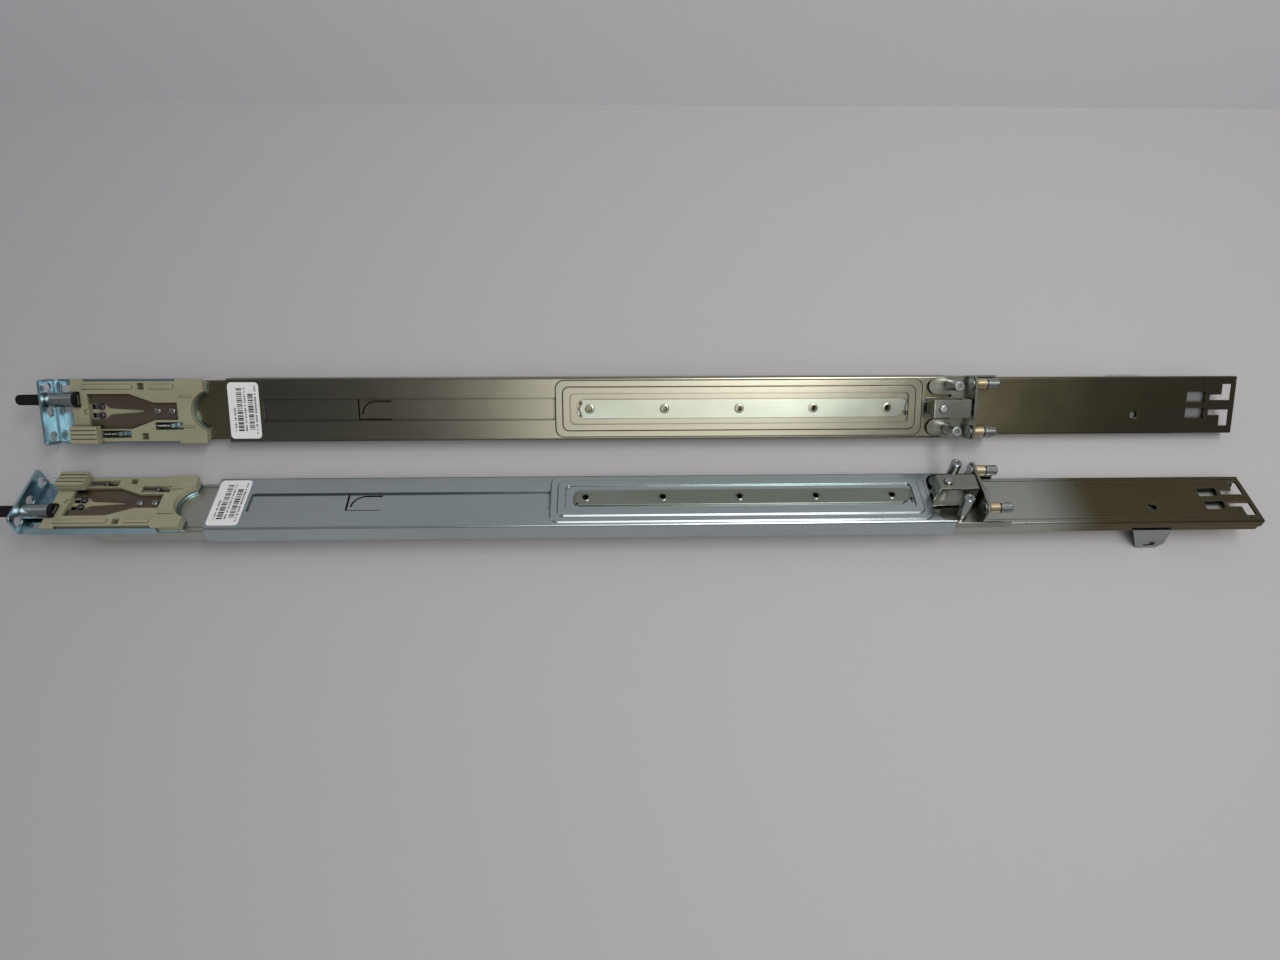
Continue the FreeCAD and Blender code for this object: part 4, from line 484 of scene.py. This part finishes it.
FINISH["moulding_cream"] = moulded("cream_moulding", (0.33, 0.32, 0.205), (0.25, 0.24, 0.155),
                                   0.48, 1500.0)
FINISH["moulding_black"] = moulded("black_moulding", (0.009, 0.009, 0.010),
                                   (0.005, 0.005, 0.006), 0.55, 1200.0, shine=0.15)
FINISH["label_white"] = moulded("label_paper", (0.80, 0.80, 0.80), (0.74, 0.74, 0.74), 0.4,
                                900.0)
print(len(FINISH), "finishes with the moulded ones")

# %% [markdown]
# ## Give each solid its edges
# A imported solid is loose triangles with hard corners, and real pressed sheet has a small
# radius on every edge. A copy whose doubles are merged can be shaded smoothly over its
# curves and get a narrow bevel, and it then stands for the solid it was copied from.

# %% Copies with rounded edges
BEVEL = {
    "depth_sleeve": 0.3, "cabinet_channel": 0.2, "front_bracket": 0.2, "latch_housing": 0.3,
    "fork_spring": 0.12, "pull_strap": 0.5, "strap_bush": 0.2, "rear_bracket": 0.2,
    "rear_bridge": 0.2, "guide_posts": 0.2, "rack_pins": 0.1, "pin_collars": 0.15,
    "nut_strip": 0.12, "rest_tab": 0.15, "label": 0.0, "slide_stop": 0.2,
}
WELD_DISTANCE, SPECK_DISTANCE = 2e-6, 1e-6
SAME_PLANE = math.radians(0.6)
SHARP_FROM = math.radians(35)
BEVEL_SEGMENTS, BEVEL_FROM = 2, math.radians(40)
FLAT_WEIGHT = 80
node_slot = {row["node"]: row["material_slot"] for row in frame["record"]["subparts"]}
node_body = {node: body for body, nodes in frame["record"]["behaviour"]["bodies"].items()
             for node in nodes}


def merged(node):
    """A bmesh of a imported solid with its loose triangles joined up."""
    work = bmesh.new()
    work.from_mesh(frame["nodes"][node].data)
    bmesh.ops.remove_doubles(work, verts=work.verts, dist=WELD_DISTANCE)
    bmesh.ops.dissolve_degenerate(work, edges=work.edges, dist=SPECK_DISTANCE)
    bmesh.ops.dissolve_limit(work, angle_limit=SAME_PLANE, verts=work.verts,
                             edges=work.edges, delimit={"NORMAL"})
    return work


def finish_piece(name, work, node, slot=None, bevel=0.0, replaces=True):
    """Make an object from a bmesh, give it its finish and let it ride with its body."""
    mesh = bpy.data.meshes.new(name)
    work.to_mesh(mesh)
    work.free()
    piece = bpy.data.objects.new(name, mesh)
    bpy.context.scene.collection.objects.link(piece)
    for polygon in mesh.polygons:
        polygon.use_smooth = True
    mesh.set_sharp_from_angle(angle=SHARP_FROM)
    if bevel:
        rounder = piece.modifiers.new("edge", "BEVEL")
        rounder.width = bevel * MM
        rounder.segments = BEVEL_SEGMENTS
        rounder.limit_method = "ANGLE"
        rounder.angle_limit = BEVEL_FROM
        rounder.miter_outer = "MITER_ARC"
        flat = piece.modifiers.new("flat faces", "WEIGHTED_NORMAL")
        flat.keep_sharp = True
        flat.weight = FLAT_WEIGHT
    slot = slot or node_slot[node]
    mesh.materials.append(FINISH[slot])
    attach(piece, node_body[node])
    if replaces:
        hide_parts(node)
    return piece


for node, solid in frame["nodes"].items():
    kind = node.split("_", 1)[1]
    if kind in BEVEL:
        finish_piece("edged_" + node, merged(node), node, bevel=BEVEL[kind])
    else:
        solid.data.materials.clear()
        solid.data.materials.append(FINISH[node_slot[node]])
print("copied", len(BEVEL) * 2, "solids")

# %% [markdown]
# ## Coil springs
# Each spring slot holds a coil of drawn wire that the latch slide presses when the strap is
# pulled. A coil is one small circle carried round an axis while it moves along it, and the
# spin operator does just that when it gets a step along the axis. Each coil rides with the
# body of the solid it stands for.

# %% Coil springs
WIRE, WIRE_SIDES = 0.55, 8
SPRING_TURNS = 8
STEPS_PER_TURN = 18


def coil(side, name, points):
    """One coil spring that fills the box round the points of its packed tube."""
    low, high = own_box(points)
    middle = (low + high) / 2
    radius = (high.z - low.z - WIRE) / 2
    length = high.x - low.x - WIRE
    work = bmesh.new()
    bmesh.ops.create_circle(work, segments=WIRE_SIDES, radius=WIRE / 2)
    bmesh.ops.rotate(work, verts=work.verts, matrix=Matrix.Rotation(math.pi / 2, 3, "X"))
    start = Vector((low.x + WIRE / 2, middle.y, middle.z + radius))
    bmesh.ops.translate(work, verts=work.verts, vec=start)
    steps = SPRING_TURNS * STEPS_PER_TURN
    bmesh.ops.spin(work, geom=work.edges[:], cent=(start.x, middle.y, middle.z), axis=(1, 0, 0),
                   dvec=(length / steps, 0, 0), angle=math.tau * SPRING_TURNS, steps=steps)
    bmesh.ops.holes_fill(work, edges=[edge for edge in work.edges if edge.is_boundary])
    bmesh.ops.recalc_face_normals(work, faces=work.faces)
    bmesh.ops.transform(work, matrix=rail_matrix(side), verts=work.verts)
    piece = finish_piece(f"{side}_{name}_coil", work, f"{side}_latch_springs")
    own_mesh(piece)


for side in SIDES:
    points = own_points(side, "latch_springs")
    low, high = own_box(points)
    halfway = (low.x + high.x) / 2
    coil(side, "front", [point for point in points if point.x < halfway])
    coil(side, "rear", [point for point in points if point.x > halfway])
print("four coils of", SPRING_TURNS, "turns")

# %% [markdown]
# ## Relief on the nut strip
# A thread in thin sheet needs more metal than the sheet has, so each hole is drawn and its
# upper side keeps a small raised rim that catches light. A rim is a small profile spun once
# round the hole. The record gives each hole's place, so the rims follow the strip. Each end
# of the strip is crimped into a wavy ridge, a small circle carried along a wave.

# %% Relief on the nut strip
RIM_INNER, RIM_OUTER, RIM_STEPS = 2.1, 3.1, 32
RIM_SINK, RIM_RISE, RIM_FOOT, RIM_SLOPE = 0.05, 0.35, 0.08, 0.4
RIM_PROFILE = (
    (RIM_INNER, -RIM_SINK), (RIM_INNER, RIM_RISE), (RIM_OUTER - RIM_SLOPE, RIM_RISE),
    (RIM_OUTER, RIM_FOOT), (RIM_OUTER, -RIM_SINK),
)
RIDGE_RADIUS, RIDGE_SIDES, RIDGE_INSET = 0.5, 8, 1.2
RIDGE_HALF, RIDGE_STEPS = 5.0, 30
RIDGE_SWAY, RIDGE_WAVES = 0.6, 1.5


def ring(work, centre, axis, start_angle, sweep, profile, steps):
    """Spin a closed profile, given as (distance from the axis, place along it)."""
    turn = axis.to_track_quat("Z", "Y").to_matrix() @ Matrix.Rotation(start_angle, 3, "Z")
    corners = [work.verts.new(centre + turn @ Vector((across, 0, along)))
               for across, along in profile]
    edges = [work.edges.new((corners[number - 1], corners[number]))
             for number in range(len(corners))]
    whole = abs(sweep) > math.tau - 1e-6
    bmesh.ops.spin(work, geom=edges, cent=centre, axis=axis, angle=sweep, steps=steps,
                   use_merge=whole)


def wavy_ridge(work, place, level):
    """A small circle carried across the strip while it sways to and fro."""
    made = bmesh.ops.create_circle(work, segments=RIDGE_SIDES, radius=RIDGE_RADIUS)
    bmesh.ops.rotate(work, verts=made["verts"], matrix=Matrix.Rotation(math.pi / 2, 3, "X"))
    bmesh.ops.translate(work, verts=made["verts"], vec=(place, -RIDGE_HALF, level))
    rim = list({edge for vert in made["verts"] for edge in vert.link_edges})
    ends = rim[:]
    sway = 0.0
    for step in range(1, RIDGE_STEPS + 1):
        grown = bmesh.ops.extrude_edge_only(work, edges=rim)["geom"]
        rim = [item for item in grown if isinstance(item, bmesh.types.BMEdge)]
        next_sway = RIDGE_SWAY * math.sin(math.tau * RIDGE_WAVES * step / RIDGE_STEPS)
        bmesh.ops.translate(work, verts=[item for item in grown
                                         if isinstance(item, bmesh.types.BMVert)],
                            vec=(next_sway - sway, 2 * RIDGE_HALF / RIDGE_STEPS, 0))
        sway = next_sway
    bmesh.ops.holes_fill(work, edges=ends + rim)


mounts = {mount["name"]: mount for mount in frame["record"]["mounts"]}
for side in SIDES:
    strip_low, strip_high = own_box(own_points(side, "nut_strip"))
    work = bmesh.new()
    back = rail_matrix(side).inverted()
    holes = [name for name in mounts if name.startswith(side + "_nut_")]
    for name in holes:
        place = back @ Vector(mounts[name]["pos_m"])
        foot = Vector((place.x, place.y, strip_high.z))
        ring(work, foot, Vector((0, 0, 1)), 0, math.tau, RIM_PROFILE, RIM_STEPS)
    for place in (strip_low.x + RIDGE_INSET, strip_high.x - RIDGE_INSET):
        wavy_ridge(work, place, strip_high.z)
    bmesh.ops.recalc_face_normals(work, faces=work.faces)
    bmesh.ops.transform(work, matrix=rail_matrix(side), verts=work.verts)
    finish_piece(side + "_strip_relief", work, side + "_nut_strip", replaces=False)
    print(side, "strip has", len(holes), "rims")

# %% [markdown]
# ## Ledges on the housing
# The moulding has a raised ledge along the side away from the grip, broken by the clip hole,
# and two short narrow ones where it meets the sleeve. A ledge is a block whose edges the
# bevel operator rounds.

# %% Ledges on the housing
LEDGE_LEVEL, LEDGE_RISE, LEDGE_ROUND = 2.5, 0.8, 0.3
GRIP_LEVEL = 6.0
# front and rear end, then the near and far side as distances from the axis
LEDGES = (
    (-362.5, -330.5, 14.6, 17.6), (-319.5, -304.5, 14.6, 17.6),
    (-301.5, -292.5, 9.4, 10.6), (-301.5, -292.5, -10.6, -9.4),
)


def block(work, low, high):
    """A box between two corners; gives back its points."""
    made = bmesh.ops.create_cube(work, size=1.0)
    size = [end - start for start, end in zip(low, high)]
    bmesh.ops.scale(work, verts=made["verts"], vec=size)
    middle = [(end + start) / 2 for start, end in zip(low, high)]
    bmesh.ops.translate(work, verts=made["verts"], vec=middle)
    return made["verts"]


for side in SIDES:
    raised = [point.y for point in own_points(side, "latch_housing") if point.z > GRIP_LEVEL]
    away = -math.copysign(1.0, sum(raised))
    work = bmesh.new()
    for front, rear, near, far in LEDGES:
        block(work, (front, min(away * near, away * far), LEDGE_LEVEL),
              (rear, max(away * near, away * far), LEDGE_LEVEL + LEDGE_RISE))
    bmesh.ops.bevel(work, geom=work.edges[:], offset=LEDGE_ROUND, offset_type="OFFSET",
                    segments=2, profile=0.5, affect="EDGES", material=-1)
    bmesh.ops.transform(work, matrix=rail_matrix(side), verts=work.verts)
    finish_piece(side + "_housing_ledges", work, side + "_latch_housing", replaces=False)
    print(side, "housing has", len(LEDGES), "ledges, away from the grip at", away)

# %% [markdown]
# ## The print on the label
# The label is thin paper with two columns of bars and small lines of print beside them. The
# print here stands for no real number: a seeded random sequence gives the bars' widths and the
# lengths of the small marks. Each mark is a very flat box lying on the paper.

# %% The print on the label
INK_RISE = 0.04
PRINT_SEED = 11
PRINT_NEAR, PRINT_FAR = 5.0, 3.5
BAR_WIDTHS, BAR_GAPS = (0.4, 0.6, 0.9, 1.2), (0.35, 0.5, 0.8)
MARK_WIDTHS, MARK_INSET = (0.5, 0.9), 0.25
MARK_GAP, WORD_GAP, WORD_CHANCE = 0.35, 1.3, 0.2
label_ink = moulded("label_ink", (0.03, 0.03, 0.035), (0.05, 0.05, 0.055), 0.5, 900.0)


def ink_mark(work, low, high, level):
    """A flat mark between two corners in the plane of the label."""
    block(work, (*low, level), (*high, level + INK_RISE))


def bar_column(work, chance, front, rear, low, high, level):
    """Bars of uneven width, one after another across the rail."""
    place = low
    while place < high:
        width = chance.choice(BAR_WIDTHS)
        ink_mark(work, (front, place), (rear, place + width), level)
        place += width + chance.choice(BAR_GAPS)


def small_print(work, chance, front, rear, low, high, level):
    """Short marks in one line, with gaps between words."""
    place = low
    while place < high:
        width = chance.uniform(*MARK_WIDTHS)
        inset = chance.uniform(0.0, MARK_INSET)
        ink_mark(work, (front + inset, place), (rear - inset, place + width), level)
        place += width + (WORD_GAP if chance.random() < WORD_CHANCE else MARK_GAP)


# what draws a row, its front and rear edge from the label's front, and how far its near and
# far end are moved from the ends of the print
LABEL_ROWS = (
    (bar_column, 5.4, 9.0, 0.0, 0.0),
    (bar_column, 12.6, 16.0, 1.0, -5.0),
    (small_print, 3.2, 4.4, 0.0, -14.0),
    (small_print, 10.0, 11.2, 0.0, 0.0),
    (small_print, 16.9, 18.1, -2.0, 1.5),
)
for side in SIDES:
    low, high = own_box(own_points(side, "label"))
    chance = random.Random(PRINT_SEED)
    work = bmesh.new()
    near, far = low.y + PRINT_NEAR, high.y - PRINT_FAR
    for draw, start, end, near_step, far_step in LABEL_ROWS:
        draw(work, chance, low.x + start, low.x + end, near + near_step, far + far_step,
             high.z)
    marks = len(work.faces) // 6
    bmesh.ops.transform(work, matrix=rail_matrix(side), verts=work.verts)
    piece = finish_piece(side + "_label_print", work, side + "_label", replaces=False)
    piece.data.materials.clear()
    piece.data.materials.append(label_ink)
    print(side, "label has", marks, "marks")

# %% [markdown]
# ## The black ring on the strap's hood
# A black ring of moulding closes the rear end of the steel hood that the strap's shank runs
# through. It is open below, as the hood is, so that the slide's upright can pass.

# %% The black ring on the strap's hood
HOOD_WALL, HOOD_LIP = 0.9, 0.2
HOOD_LENGTH, HOOD_PROUD = 2.4, 0.15
HOOD_START, HOOD_SWEEP, HOOD_STEPS = math.radians(-20), math.radians(220), 28
END_SLICE = 0.1
for side in SIDES:
    low, high = own_box(own_points(side, "strap_bush"))
    rod_low, rod_high = own_box([point for point in own_points(side, "strap_bush")
                                 if point.x > high.x - END_SLICE])
    centre = Vector((high.x, (rod_low.y + rod_high.y) / 2,
                     rod_high.z - (rod_high.y - rod_low.y) / 2))
    radius = (rod_high.y - rod_low.y) / 2
    inner, outer = radius - HOOD_WALL, radius + HOOD_LIP
    work = bmesh.new()
    ring(work, centre, Vector((1, 0, 0)), HOOD_START, HOOD_SWEEP,
         ((inner, HOOD_PROUD), (inner, -HOOD_LENGTH), (outer, -HOOD_LENGTH),
          (outer, HOOD_PROUD)), HOOD_STEPS)
    bmesh.ops.holes_fill(work, edges=[edge for edge in work.edges if edge.is_boundary])
    bmesh.ops.recalc_face_normals(work, faces=work.faces)
    bmesh.ops.transform(work, matrix=rail_matrix(side), verts=work.verts)
    finish_piece(side + "_hood_ring", work, side + "_strap_bush", slot="moulding_black",
                 replaces=False)
    print(side, "ring round", [round(value, 1) for value in centre])

# %% [markdown]
# ## Sizes, and the end
# The size of the box round the dressed pair is printed.

# %% Size of the dressed pair
low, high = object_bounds()
print("the dressed pair fills", [round(v, 4) for v in high - low])
